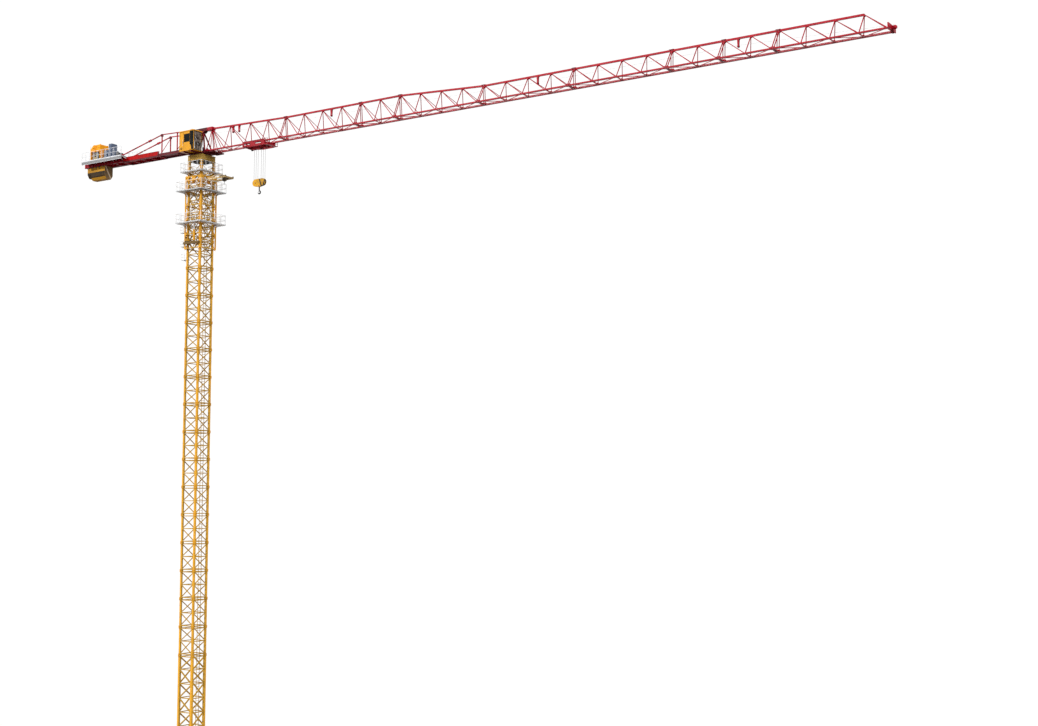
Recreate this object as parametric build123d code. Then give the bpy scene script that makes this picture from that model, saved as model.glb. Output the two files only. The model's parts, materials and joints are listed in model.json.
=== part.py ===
# Flat-top tower crane, 1:10 scale model. Millimetres, +Z up, +X along the jib,
# origin at the mast axis on the underside of the foundation frame.
from build123d import *
import os
from math import cos, pi, radians, sin

os.makedirs("parts", exist_ok=True)

# Clearances
slew_gap = 0.3
wheel_gap = 0.3
rope_gap = 0.3
overrun = 5.0

# Foundation frame
foot_plate_side = 120.0
foot_plate_thickness = 16.0
foot_beam_width = 26.0
centre_plate_side = 70.0
anchor_spacing = 84.0
anchor_hole_radius = 2.6
shoe_side = 46.0
shoe_height = 14.0

# Mast
leg_spacing = 185.5
section_height = 300.0
section_groups = (4, 4, 4, 2, 3)
leg_size = 20.0
collar_size = 28.0
collar_height = 15.0
girt_size = 9.0
girt_inset = 14.0
brace_size = 8.0
base_cells = 6
base_cell_height = 150.0
base_leg_size = 24.0
base_brace_size = 12.0
ladder_width = 42.0
ladder_bar = 4.0
rungs_per_section = 10
rung_rise_share = 0.5

# Slewing support and ring
support_leg_size = 24.0
support_lower_height = 180.0
support_head_base = 298.0
support_head_height = 62.0
support_plate = 8.0
knee_reach = 36.0
knee_thickness = 6.0
ring_outer_radius = 92.0
ring_inner_radius = 66.0
ring_height = 8.0
ring_sides = 24

# Climbing cage round the top of the mast
cage_spacing = 232.0
cage_post_size = 12.0
cage_bottom = 5312.0
cage_height = 808.0
cage_levels = 5
cage_girt_size = 10.0
cage_brace_size = 6.0
cage_head_depth = 46.0
cage_gusset_length = 52.0
guide_pad_thickness = 5.0
guide_pad_height = 30.0

# Walkways round the cage: floor level and half width of each
upper_walk_level = 6168.0
upper_walk_half = 165.0
middle_walk_drop = 167.0
lower_walk_rise = 282.0
cage_walk_half = 194.0
walk_floor_thickness = 4.0
railing_height = 108.0
railing_bar = 3.0
railing_posts_per_side = 5
railing_shares = (0.5, 1.0)
cage_landing_levels = (5500.0, 5345.0)
mast_landing_level = 5200.0
landing_end_x = -190.0
landing_width = 56.0

# Jacking gear on the cage's near face
jack_beam_depth = 22.0
jack_beam_width = 24.0
cylinder_radius = 12.0
cylinder_length = 130.0
piston_radius = 7.0
piston_length = 50.0
jack_height = 60.0
power_pack_size = (50.0, 24.0, 34.0)
power_pack_x = -92.0
cylinder_x = 40.0

# Introduction beam for new mast sections
intro_beam_end = 427.0
intro_beam_width = 14.0
intro_beam_depth = 16.0
intro_beam_spacing = 114.0
intro_beam_drop = 48.0
intro_hoist_rest = 352.0
intro_hoist_length = 44.0
intro_hoist_depth = 22.0
intro_hoist_width = 34.0

# Turntable
turntable_plate_radius = 100.0
turntable_plate_thickness = 6.0
turntable_body_height = 12.0
turntable_length = 236.0
turntable_width = 168.0
service_deck_x = (122.0, 232.0)
service_deck_y = (-72.0, 112.0)
service_deck_thickness = 4.0
service_deck_depth = 12.0
service_deck_edge = 6.0

# Jib
chord_size = 15.0
top_chord_size = 17.0
chord_spacing = 120.0
jib_start = 216.0
bay_length = 254.9
bay_count = 30
root_depth = 258.0
middle_depth = 228.0
outer_depth = 167.0
root_taper_end = 4
taper_bays = (10, 14)
root_node_x = 156.0
first_node_x = 430.0
root_fan_x = (190.0, 262.0)
foot_shift = 32.0
joint_bays = (0, 4, 8, 10, 14, 18, 22, 24, 26, 30)
post_size = 7.0
strut_size = 6.0
deck_strut_size = 5.0
joint_inset = 10.0
eye_length = 20.0
eye_size = 24.0
rail_width = 9.0
rail_thickness = 3.0
jib_root_x = 94.0
jib_root_length = 84.0
jib_root_width = 52.0
jib_root_depth = 36.0
jib_foot_x = 118.0

# Jib tip and small pieces under the top chord
tip_frame_width = 190.0
tip_frame_height = 44.0
tip_plate = 10.0
tip_sheave_radius = 20.0
tip_sheave_width = 7.0
guide_places = (472.0, 560.0, 1865.0, 4404.0, 6470.0)
guide_arm_length = 70.0
guide_arm_size = 8.0
guide_roller_radius = 11.0
guide_roller_width = 30.0
guide_gap = 0.3

# Tower head
head_level = 6668.0
head_rear_x = -100.0
head_beam_depth = 26.0
head_beam_width = 44.0
head_post_size = 16.0
head_front_x = 20.0

# Cab
cab_rear_x = -130.0
cab_front_x = 88.0
cab_near_y = -216.0
cab_far_y = -92.0
cab_floor_level = 6385.0
cab_height = 222.0
cab_brim = 5.0
cab_brim_depth = 6.0
cab_wall = 5.0
cab_window_frame = 6.0
side_window_x = (-58.0, 24.0)
side_window_sill = 100.0
side_window_height = 88.0
corner_window_rear_x = 29.0
glass_thickness = 2.0
cab_bracket_depth = 14.0

# Counter-jib
counter_end_x = -1826.0
counter_outer_x = -1182.0
counter_step_x = -610.0
counter_root_x = -108.0
counter_beam_spacing = 130.0
counter_beam_depth = 56.0
counter_beam_width = 14.0
counter_top_level = 6484.0
counter_outer_rise = 12.0
counter_inner_drop = 28.0
counter_inner_crosses = 3
counter_pitch = 146.0
counter_cross_size = 12.0
walkway_edge_y = 150.0
walkway_outer_x = (-1792.0, -1128.0)
walkway_fascia_depth = 38.0
walkway_floor_thickness = 4.0
inner_walk_thickness = 4.0

# Ties of the counter-jib
tie_outer_x = -1200.0
apex_x = -560.0
apex_level = 6671.0
inner_post_x = -318.0
tie_size = 10.0
tie_post_size = 10.0
turnbuckle_size = 18.0
turnbuckle_length = 44.0
turnbuckle_share = 0.7
tie_brace_size = 5.0
tie_lug = 22.0
tie_seat_gap = 0.3

# Hoist winch group
winch_rear_x = -1806.0
winch_front_x = -1300.0
winch_base_height = 28.0
winch_half_width = 62.0
drum_radius = 46.0
drum_core_radius = 37.0
drum_centre_x = -1665.0
drum_flange = 5.0
bearing_height = 68.0
hood_x = (-1748.0, -1583.0)
hood_low = 101.0
hood_height = 75.0
hood_chamfer = 44.0
hood_wall = 6.0
hood_lug_size = 8.0
gearbox_x = (-1517.0, -1410.0)
gearbox_height = 94.0
motor_radius = 29.0
motor_end_x = -1322.0
motor_foot_depth = 20.0
cabinet_x = (-1462.0, -1412.0)
cabinet_half_width = 42.0
cabinet_height = 74.0

# Counterweights
ballast_x = (-1790.0, -1497.0)
ballast_count = 5
ballast_gap = 0.3
ballast_half_width = 60.0
ballast_foot_half_width = 34.0
ballast_bottom = 6288.0
ballast_rear_rise = 30.0
ballast_cut = 42.0

# Trolley
rope_centre_x = 867.0
lobe_offset = 51.0
trolley_rear = 174.0
trolley_front = 140.0
trolley_wedge = 36.0
trolley_belly_end = 118.0
trolley_belly_drop = 7.0
trolley_cheek_drop = 18.0
trolley_rear_drop = 8.0
trolley_front_drop = 5.0
trolley_windows_x = ((-152.0, -60.0), (12.0, 92.0))
trolley_window_z = (18.0, 36.0)
trolley_plate_y = 84.0
trolley_plate_thickness = 4.0
trolley_plate_bottom = 6350.0
trolley_beam_size = 16.0
trolley_wheel_radius = 10.0
trolley_wheel_width = 6.0
trolley_axle_radius = 3.0
trolley_wheel_shares = (0.92, 0.5, 0.1)
trolley_sheave_level = 6352.0
basket_length = 42.0
basket_depth = 72.0
basket_drop = 6.0
basket_bar = 4.0
basket_hanger_depth = 34.0

# Ropes and sheaves
rope_size = 2.4
block_sheave_pitch = 28.0
trolley_sheave_pitch = 23.0
sheave_width = 7.0
sheave_sides = 20
becket_size = 10.0

# Hook block and hook
block_centre_level = 5960.0
block_lobe_radius = 40.0
cheek_offset = 11.0
cheek_thickness = 4.0
crosshead_level = 5926.0
crosshead_size = 24.0
hook_shank_radius = 4.5
hook_shank_gap = 0.3
hook_shank_length = 90.0
hook_inner_radius = 11.0
hook_bar = 9.0
hook_thickness = 9.0
hook_open_degrees = 70.0
hook_segments = 12
cheek_arc_steps = 8
cheek_arc_degrees = 153.0
cheek_arc_start = 243.0

# Levels and places that follow from the sizes above
base_height = base_cells * base_cell_height
mast_top = base_height + sum(section_groups) * section_height
support_top = mast_top + support_head_base + support_head_height
ring_top = support_top + ring_height
turntable_bottom = ring_top + slew_gap
turntable_top = turntable_bottom + turntable_plate_thickness + turntable_body_height
chord_bottom = turntable_top
chord_level = chord_bottom + chord_size / 2
chord_y = chord_spacing / 2
leg_y = leg_spacing / 2
cage_y = cage_spacing / 2
cage_outside = cage_y + cage_post_size / 2
cage_top = cage_bottom + cage_height
intro_beam_level = cage_top - intro_beam_drop
middle_walk_level = cage_top - middle_walk_drop
lower_walk_level = cage_bottom + lower_walk_rise
counter_y = counter_beam_spacing / 2
counter_bottom = counter_top_level - counter_beam_depth
outer_top_level = counter_top_level + counter_outer_rise
outer_bottom = counter_bottom + counter_outer_rise
winch_level = outer_top_level + winch_base_height
inner_top_level = counter_top_level - counter_inner_drop
block_bottom = crosshead_level - crosshead_size / 2


def bar(start, end, width, depth=None):
    """Straight rectangular bar between two points."""
    start = Vector(*start)
    end = Vector(*end)
    along = end - start
    level = Vector(0, 0, 1).cross(along.normalized())
    across = level if level.length > sin(radians(1)) else Vector(1, 0, 0)
    plane = Plane(origin=start, x_dir=across, z_dir=along)
    size = Box(width, depth or width, along.length, align=(Align.CENTER, Align.CENTER, Align.MIN))
    return (plane * size).solid()


def block(x_range, y_range, z_range):
    """Box between two limits on each axis."""
    low = Vector(min(x_range), min(y_range), min(z_range))
    high = Vector(max(x_range), max(y_range), max(z_range))
    size = high - low
    box = Box(size.X, size.Y, size.Z, align=(Align.MIN, Align.MIN, Align.MIN))
    return (Pos(low) * box).solid()


def around(centre, size):
    """Pair of limits centred on a place."""
    return (centre - size / 2, centre + size / 2)


def fused(pieces):
    """One shape from pieces that meet."""
    first, *rest = pieces
    return first.fuse(*rest) if rest else first


def mirrored_y(pieces):
    """The pieces with their copies on the far side."""
    return list(pieces) + [piece.mirror(Plane.XZ) for piece in pieces]


def four_sides(pieces):
    """The pieces of one side turned round the mast axis."""
    return [piece.rotate(Axis.Z, turn * 90) for turn in range(4) for piece in pieces]


def four_corners(half):
    """The corners of a square round the mast axis."""
    return [(half, -half), (half, half), (-half, half), (-half, -half)]


def disc(centre, radius, width, axis, sides=sheave_sides):
    """Many-sided disc with flat faces, centred on a point."""
    plane = Plane(origin=Vector(*centre) - Vector(*axis) * width / 2, z_dir=axis)
    outline = plane * RegularPolygon(radius=radius, side_count=sides, major_radius=True)
    return extrude(outline, width, dir=Vector(*axis)).solid()


def plate_xz(points, y_low, thickness):
    """Flat plate drawn in X and Z, standing from y_low towards +Y."""
    outline = Polyline([(x, y_low, z) for x, z in points], close=True)
    return extrude(make_face(outline), thickness, dir=Vector(0, 1, 0)).solid()


def save(name, pieces):
    """Write one node, made of one shape or of shapes that stay apart."""
    shapes = pieces if isinstance(pieces, list) else [pieces]
    solids = [solid for shape in shapes for solid in shape.solids()]
    result = solids[0] if len(solids) == 1 else Compound(children=solids)
    result.label = name
    export_step(result, f"parts/{name}.step")


# Foundation frame
def base_frame():
    thick = (0, foot_plate_thickness)
    shoe_z = (foot_plate_thickness, foot_plate_thickness + shoe_height)
    plates = []
    holes = []
    for x, y in four_corners(leg_y):
        plates.append(block(around(x, foot_plate_side), around(y, foot_plate_side), thick))
        plates.append(block(around(x, shoe_side), around(y, shoe_side), shoe_z))
        for dx, dy in four_corners(anchor_spacing / 2):
            place = Pos(x + dx, y + dy, foot_plate_thickness / 2)
            holes.append(place * Cylinder(anchor_hole_radius, foot_plate_thickness + 2 * overrun))
    mid = foot_plate_thickness / 2
    beam = (foot_beam_width, foot_plate_thickness)
    ties = [bar((leg_y, -leg_y, mid), (leg_y, leg_y, mid), *beam)]
    crosses = [
        bar((leg_y, -leg_y, mid), (-leg_y, leg_y, mid), *beam),
        bar((leg_y, leg_y, mid), (-leg_y, -leg_y, mid), *beam),
        block(around(0, centre_plate_side), around(0, centre_plate_side), thick),
    ]
    return fused(plates + four_sides(ties) + crosses).cut(*[hole.solid() for hole in holes])


# Mast
def base_section():
    bottom = foot_plate_thickness + shoe_height
    collar_z = (base_height - collar_height, base_height)
    side = [block(around(leg_y, base_leg_size), around(-leg_y, base_leg_size), (bottom, base_height))]
    side.append(block(around(leg_y, collar_size), around(-leg_y, collar_size), collar_z))
    levels = [bottom + girt_inset] + [cell * base_cell_height for cell in range(1, base_cells)]
    levels.append(base_height - girt_inset)
    for level in levels:
        side.append(bar((-leg_y, -leg_y, level), (leg_y, -leg_y, level), girt_size))
    for cell in range(base_cells):
        lower, upper = levels[cell], levels[cell + 1]
        turn = 1 if (base_cells - cell) % 2 else -1
        side.append(bar((turn * leg_y, -leg_y, upper), (-turn * leg_y, -leg_y, lower), base_brace_size))
    return fused(four_sides(side) + ladder(bottom, base_height))


def ladder(bottom, top):
    """Ladder standing inside the far face, touching its girts."""
    face_y = leg_y - girt_size / 2 - ladder_bar / 2
    depth = around(face_y, ladder_bar)
    rails = [block(around(side * ladder_width / 2, ladder_bar), depth, (bottom, top)) for side in (-1, 1)]
    pitch = section_height / rungs_per_section
    rungs = []
    for step in range(int((top - bottom) / pitch)):
        level = bottom + (step + rung_rise_share) * pitch
        rungs.append(block(around(0, ladder_width), depth, around(level, ladder_bar)))
    return rails + rungs


def mast_section():
    """One standard section, standing on zero."""
    mid = section_height / 2
    top = section_height - girt_inset
    side = [block(around(leg_y, leg_size), around(-leg_y, leg_size), (0, section_height))]
    collar = (around(leg_y, collar_size), around(-leg_y, collar_size))
    for low in (0, section_height - collar_height):
        side.append(block(*collar, (low, low + collar_height)))
    for level in (girt_inset, top):
        side.append(bar((-leg_y, -leg_y, level), (leg_y, -leg_y, level), girt_size))
    side.append(bar((-leg_y, -leg_y, mid), (leg_y, -leg_y, mid), brace_size))
    side.append(bar((leg_y, -leg_y, top), (-leg_y, -leg_y, mid), brace_size))
    side.append(bar((-leg_y, -leg_y, mid), (leg_y, -leg_y, girt_inset), brace_size))
    return fused(four_sides(side) + ladder(0, section_height))


def mast_groups():
    section = mast_section()
    level = base_height
    for number, count in enumerate(section_groups, start=1):
        copies = [section.moved(Pos(0, 0, level + step * section_height)) for step in range(count)]
        save(f"mast_sections_{number}", fused(copies))
        level += count * section_height


# Slewing support
def slewing_support():
    outer = leg_y + support_leg_size / 2
    head_low = mast_top + support_head_base
    brace_top = mast_top + support_lower_height
    low = mast_top + girt_inset
    leg = around(leg_y, support_leg_size)
    side = [block(leg, around(-leg_y, support_leg_size), (mast_top, head_low))]
    for level in (low, brace_top):
        side.append(bar((-leg_y, -leg_y, level), (leg_y, -leg_y, level), girt_size))
    side.append(bar((-leg_y, -leg_y, low), (leg_y, -leg_y, brace_top), brace_size))
    side.append(bar((leg_y, -leg_y, low), (-leg_y, -leg_y, brace_top), brace_size))
    inner = leg_y - support_leg_size / 2
    rise = knee_reach * (1 - sin(pi / 4))
    for turn in (-1, 1):
        knee = [
            (turn * inner, head_low),
            (turn * inner, head_low - knee_reach),
            (turn * (inner - rise), head_low - rise),
            (turn * (inner - knee_reach), head_low),
        ]
        side.append(plate_xz(knee, -leg_y - knee_thickness / 2, knee_thickness))
    head = Box(2 * outer, 2 * outer, support_head_height)
    inside = 2 * (outer - support_plate)
    hollow = Box(inside, inside, support_head_height - 2 * support_plate)
    well = Cylinder(ring_inner_radius, support_head_height + 2 * overrun)
    head = (Pos(0, 0, head_low + support_head_height / 2) * (head - hollow - well)).solid()
    return fused(four_sides(side) + [head])


def slew_ring():
    centre = (0, 0, ring_top - ring_height / 2)
    outer = disc(centre, ring_outer_radius, ring_height, (0, 0, 1), ring_sides)
    inner = disc(centre, ring_inner_radius, 2 * ring_height, (0, 0, 1), ring_sides)
    return outer - inner


# Climbing cage
def climbing_cage():
    side = [block(around(cage_y, cage_post_size), around(-cage_y, cage_post_size), (cage_bottom, cage_top))]
    step = cage_height / cage_levels
    levels = [cage_bottom + cage_girt_size / 2]
    levels += [cage_bottom + number * step for number in range(1, cage_levels)]
    levels.append(cage_top - cage_girt_size / 2)
    head_low = cage_top - cage_head_depth
    for level in levels + [head_low]:
        side.append(bar((-cage_y, -cage_y, level), (cage_y, -cage_y, level), cage_girt_size))
    for lower, upper in zip(levels, levels[1:]):
        side.append(bar((cage_y, -cage_y, upper), (0, -cage_y, lower), cage_brace_size))
        side.append(bar((-cage_y, -cage_y, upper), (0, -cage_y, lower), cage_brace_size))
    corner = cage_y - cage_post_size / 2
    for turn in (-1, 1):
        gusset = [
            (turn * corner, cage_top - cage_girt_size / 2),
            (turn * (corner - cage_gusset_length), cage_top - cage_girt_size / 2),
            (turn * corner, head_low - cage_gusset_length / 2),
        ]
        side.append(plate_xz(gusset, -cage_y - cage_brace_size / 2, cage_brace_size))
    middle_z = (head_low, cage_top - cage_girt_size)
    middle = block(around(0, cage_gusset_length), around(-cage_y, cage_brace_size), middle_z)
    pieces = four_sides(side + [middle])
    leg_face = leg_y + leg_size / 2
    reach = leg_face + guide_pad_thickness / 2
    for level in (levels[1], levels[-2]):
        pad_z = around(level, guide_pad_height)
        for x, y in four_corners(1):
            pad_x = (x * leg_face, x * (cage_y - cage_post_size / 2 + overrun))
            pieces.append(block(pad_x, around(y * cage_y, cage_post_size), pad_z))
            pad_y = (y * leg_face, y * cage_y)
            pieces.append(block(around(x * reach, guide_pad_thickness), pad_y, pad_z))
    return fused(pieces)


def walkway(level, half, inside):
    """Square walkway with its railing, seated round what stands inside it."""
    low = level - walk_floor_thickness
    floor = block((-half, half), (-half, half), (low, level))
    opening = block((-inside, inside), (-inside, inside), (low - overrun, level + overrun))
    edge = half - railing_bar / 2
    side = []
    for share in railing_shares:
        height = level + share * railing_height - railing_bar / 2
        side.append(bar((-edge, -edge, height), (edge, -edge, height), railing_bar))
    spacing = 2 * edge / railing_posts_per_side
    for number in range(railing_posts_per_side):
        x = -edge + number * spacing
        post_z = (level, level + railing_height)
        side.append(block(around(x, railing_bar), around(-edge, railing_bar), post_z))
    return fused([(floor - opening).solid()] + four_sides(side))


def ladder_landings():
    """Small landings on the left, two on the cage and one on the mast below it."""
    seats = [(level, -cage_y - cage_post_size / 2) for level in cage_landing_levels]
    seats.append((mast_landing_level, -leg_y - leg_size / 2))
    landings = []
    for level, seat in seats:
        z_range = (level - walk_floor_thickness, level)
        landings.append(block((landing_end_x, seat), (seat, seat + landing_width), z_range))
    return landings


def jacking_gear():
    level = cage_bottom + jack_height
    face = -cage_y - cage_post_size / 2
    y = face - jack_beam_width / 2
    beam = block((-cage_y, cage_y), around(y, jack_beam_width), around(level, jack_beam_depth))
    foot = level + jack_beam_depth / 2
    top = foot + cylinder_length
    up = (0, 0, 1)
    cylinder = disc((cylinder_x, y, foot + cylinder_length / 2), cylinder_radius, cylinder_length, up)
    piston = disc((cylinder_x, y, top + piston_length / 2), piston_radius, piston_length, up)
    length, width, height = power_pack_size
    pack = block((power_pack_x, power_pack_x + length), (face - width, face), (foot, foot + height))
    return fused([beam, cylinder, piston, pack])


def introduction_beam():
    z_range = around(intro_beam_level, intro_beam_depth)
    pieces = []
    for y in (-intro_beam_spacing / 2, intro_beam_spacing / 2):
        x_range = (cage_y + cage_girt_size / 2, intro_beam_end)
        pieces.append(block(x_range, around(y, intro_beam_width), z_range))
    for x in (cage_y + intro_beam_width, intro_beam_end - intro_beam_width / 2):
        pieces.append(block(around(x, intro_beam_width), around(0, intro_beam_spacing), z_range))
    return fused(pieces)


def section_hoist():
    top = intro_beam_level + intro_beam_depth / 2 + wheel_gap
    length = around(intro_hoist_rest, intro_hoist_length)
    body = block(length, around(0, intro_beam_spacing + intro_beam_width), (top, top + intro_hoist_depth / 2))
    hang_z = (top - intro_hoist_depth - intro_beam_depth, top)
    hang = block(around(intro_hoist_rest, intro_hoist_width), around(0, intro_hoist_width), hang_z)
    return fused([body, hang])


# Turntable
def turntable():
    plate_top = turntable_bottom + turntable_plate_thickness
    centre = (0, 0, turntable_bottom + turntable_plate_thickness / 2)
    plate = disc(centre, turntable_plate_radius, turntable_plate_thickness, (0, 0, 1), ring_sides)
    body = block(around(0, turntable_length), around(0, turntable_width), (plate_top, turntable_top))
    arm_z = (cab_floor_level - cab_bracket_depth, cab_floor_level)
    arms = []
    for x in (cab_rear_x / 2, cab_front_x / 2):
        arms.append(block(around(x, counter_beam_width), (cab_near_y, -turntable_width / 2), arm_z))
    return fused([plate, body] + arms)


def service_platform():
    """Deck under the root of the jib, with a deeper edge all round."""
    top = chord_bottom
    deck = block(service_deck_x, service_deck_y, (top - service_deck_depth, top))
    inner_x = (service_deck_x[0] + service_deck_edge, service_deck_x[1] - service_deck_edge)
    inner_y = (service_deck_y[0] + service_deck_edge, service_deck_y[1] - service_deck_edge)
    return deck - block(inner_x, inner_y, (top - service_deck_depth, top - service_deck_thickness))


# Tower head
def tower_head():
    beam_z = (head_level - head_beam_depth, head_level)
    beam_x = (head_rear_x - head_post_size / 2, jib_root_x)
    beam = block(beam_x, around(0, head_beam_width), beam_z)
    cross_y = around(0, counter_beam_spacing + head_post_size)
    cross = block(around(head_rear_x, head_post_size), cross_y, beam_z)
    low = turntable_top
    foot = low + chord_size
    apex = (head_front_x, 0, head_level - head_beam_depth)
    side = [block(around(head_rear_x, head_post_size), around(chord_y, head_post_size), (low, head_level))]
    side.append(bar(apex, (jib_foot_x - head_post_size, chord_y, foot), head_post_size))
    side.append(bar(apex, (head_rear_x + head_post_size / 2, chord_y, foot), head_post_size))
    side.append(block((counter_root_x, jib_foot_x), around(chord_y, chord_size), (low, foot)))
    return fused([beam, cross] + mirrored_y(side))


# Jib
def depth_at(bay):
    """Depth of the jib at a bay number."""
    if bay <= root_taper_end:
        return root_depth + bay / root_taper_end * (middle_depth - root_depth)
    start, end = taper_bays
    share = min(max((bay - start) / (end - start), 0), 1)
    return middle_depth + share * (outer_depth - middle_depth)


def node_x(bay):
    """Place of a top node, the two next to the root being set apart from the rest."""
    return {0: root_node_x, 1: first_node_x}.get(bay, jib_start + bay * bay_length)


def top_node(bay, inset=0):
    return (node_x(bay) + inset, 0, chord_level + depth_at(bay))


def foot_node(bay, inset=0, side=1):
    return (node_x(bay) - foot_shift + inset, side * chord_y, chord_level)


def top_chord(first, last):
    """Top chord of one section, cut upright at both ends."""
    begin, end = top_node(first), top_node(last)
    half = top_chord_size / 2
    outline = [(begin[0], begin[2] - half), (end[0], end[2] - half)]
    outline += [(end[0], end[2] + half), (begin[0], begin[2] + half)]
    return [plate_xz(outline, -half, top_chord_size)]


def bottom_chord(start_x, end_x):
    """Near and far bottom chords with their outer running rails."""
    out = chord_y + chord_size / 2
    chord = block((start_x, end_x), around(chord_y, chord_size), (chord_bottom, chord_bottom + chord_size))
    rail = block((start_x, end_x), (out, out + rail_width), (chord_bottom, chord_bottom + rail_thickness))
    return mirrored_y([chord, rail])


def eye(x_range, level):
    """Joint lumps of the bottom chords, flush outside and below."""
    out = chord_y + chord_size / 2
    return mirrored_y([block(x_range, (out - eye_size, out), (level, level + eye_size))])


def frame_at(bay, inset):
    """Cross frame of one bay: two posts and the foot member."""
    posts = mirrored_y([bar(top_node(bay, inset), foot_node(bay, inset), post_size)])
    return posts + [bar(foot_node(bay, inset, -1), foot_node(bay, inset), post_size)]


def bay_struts(bay, inset_start, inset_end):
    """Side diagonals and floor diagonal of one bay."""
    struts = mirrored_y([bar(top_node(bay, inset_start), foot_node(bay + 1, inset_end), strut_size)])
    turn = 1 if bay % 2 else -1
    near = foot_node(bay, inset_start, turn)
    struts.append(bar(near, foot_node(bay + 1, inset_end, -turn), deck_strut_size))
    return struts


def root_end():
    """Head lump, fan of struts and feet of the first section."""
    lump_x = (jib_root_x, jib_root_x + jib_root_length)
    pieces = [block(lump_x, around(0, jib_root_width), around(chord_level + root_depth, jib_root_depth))]
    for x in root_fan_x:
        pieces += mirrored_y([bar(top_node(0), (x, chord_y, chord_level), strut_size)])
        pieces.append(bar((x, -chord_y, chord_level), (x, chord_y, chord_level), strut_size))
    return pieces + eye((jib_foot_x, jib_foot_x + 2 * eye_length), chord_bottom)


def tip_end(last_top, end_x):
    """Closing frame of the last section."""
    x = end_x - post_size
    pieces = mirrored_y([bar(top_node(last_top), (x, chord_y, chord_level), post_size)])
    pieces.append(bar(foot_node(last_top), (x, -chord_y, chord_level), deck_strut_size))
    pieces.append(block((x, end_x), around(0, chord_spacing), around(chord_level, post_size)))
    return pieces


def joint_end(x_range, foot_range, top):
    """Joint lumps on the top chord and on both bottom chords."""
    return [block(x_range, around(0, eye_size), around(top, eye_size))] + eye(foot_range, chord_bottom)


def jib_section(first, last):
    """One jib section between two joints."""
    is_root = first == 0
    is_tip = last == bay_count
    last_top = last - 1 if is_tip else last
    start_x = jib_foot_x if is_root else foot_node(first)[0]
    end_x = foot_node(last)[0]
    pieces = top_chord(first, last_top) + bottom_chord(start_x, end_x)
    for bay in range(first, last_top + 1):
        inset = joint_inset if bay == first and not is_root else 0
        inset = -joint_inset if bay == last else inset
        pieces += frame_at(bay, inset)
    for bay in range(first, last_top):
        start = joint_inset if bay == first and not is_root else 0
        end = -joint_inset if bay + 1 == last else 0
        pieces += bay_struts(bay, start, end)
    if is_root:
        pieces += root_end()
    else:
        x, _, top = top_node(first)
        pieces += joint_end((x, x + eye_length), (start_x, start_x + eye_length), top)
    if is_tip:
        pieces += tip_end(last_top, end_x)
    else:
        x, _, top = top_node(last)
        pieces += joint_end((x - eye_length, x), (end_x - eye_length, end_x), top)
    return fused(pieces)


def jib_sections():
    for number, (first, last) in enumerate(zip(joint_bays, joint_bays[1:]), start=1):
        save(f"jib_section_{number}", jib_section(first, last))


def jib_tip():
    x = foot_node(bay_count)[0]
    z_range = (chord_bottom, chord_bottom + tip_frame_height)
    plate = block((x, x + tip_plate), around(0, tip_frame_width), z_range)
    bracket_x = (x + tip_plate, x + tip_plate + 2 * tip_sheave_radius)
    level = chord_bottom + tip_frame_height / 2
    cheek_y = tip_sheave_width / 2 + wheel_gap
    cheek = block(bracket_x, (cheek_y, cheek_y + tip_plate / 2), around(level, tip_frame_height / 2))
    centre = (x + tip_plate + tip_sheave_radius + wheel_gap, 0, level)
    sheave = disc(centre, tip_sheave_radius, tip_sheave_width, (0, 1, 0))
    axle = disc(centre, tip_plate / 4, 2 * cheek_y + tip_plate, (0, 1, 0))
    return fused([plate] + mirrored_y([cheek]) + [sheave, axle])


def top_level_at(x):
    """Level of the top chord's middle at a place along the jib."""
    for first, last in zip(joint_bays, joint_bays[1:]):
        begin, end = top_node(first), top_node(last)
        if x <= end[0]:
            break
    return begin[2] + (x - begin[0]) / (end[0] - begin[0]) * (end[2] - begin[2])


def rope_guides():
    """Rope guides hanging under the top chord."""
    pieces = []
    half = guide_roller_width / 2
    for x in guide_places:
        top = top_level_at(x) - top_chord_size / 2 - guide_gap
        length = around(x, guide_arm_size)
        arm_y = (half, half + guide_arm_size)
        arms = mirrored_y([block(length, arm_y, (top - guide_arm_length, top - guide_arm_size))])
        yoke = block(length, around(0, 2 * (half + guide_arm_size)), (top - guide_arm_size, top))
        centre = (x, 0, top - guide_arm_length + guide_roller_radius / 2)
        roller = disc(centre, guide_roller_radius, guide_roller_width, (0, 1, 0))
        pieces.append(fused([yoke, roller] + arms))
    return pieces


# Cab
def cab_shell():
    x_range = (cab_rear_x, cab_front_x)
    y_range = (cab_near_y, cab_far_y)
    z_range = (cab_floor_level, cab_floor_level + cab_height)
    outer = block(x_range, y_range, z_range)
    inner = block(
        (cab_rear_x + cab_wall, cab_front_x - cab_wall),
        (cab_near_y + cab_wall, cab_far_y - cab_wall),
        (cab_floor_level + cab_wall, z_range[1] - cab_wall),
    )
    shell = outer - inner
    for window in cab_window_places():
        shell -= block(*window)
    brim_x = (cab_rear_x, cab_front_x + cab_brim)
    brim_y = (cab_near_y - cab_brim, cab_far_y + cab_brim)
    brim = block(brim_x, brim_y, (z_range[1] - cab_brim_depth, z_range[1]))
    return fused([shell, brim - inner])


def cab_window_places():
    """Openings of the side, corner, front and far windows, cut through the wall."""
    low = cab_floor_level
    top = low + cab_height - cab_window_frame
    near = (cab_near_y - overrun, cab_near_y + cab_wall + overrun)
    far = (cab_far_y - cab_wall - overrun, cab_far_y + overrun)
    front = (cab_front_x - cab_wall - overrun, cab_front_x + overrun)
    side_z = (low + side_window_sill, low + side_window_sill + side_window_height)
    corner_x = (corner_window_rear_x, cab_front_x - cab_window_frame)
    return [
        (side_window_x, near, side_z),
        (corner_x, near, (low + cab_window_frame, top)),
        (side_window_x, far, side_z),
        (corner_x, far, (low + cab_window_frame, top)),
        (front, (cab_near_y + cab_window_frame, cab_far_y - cab_window_frame), (low + cab_window_frame, top)),
    ]


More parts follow.
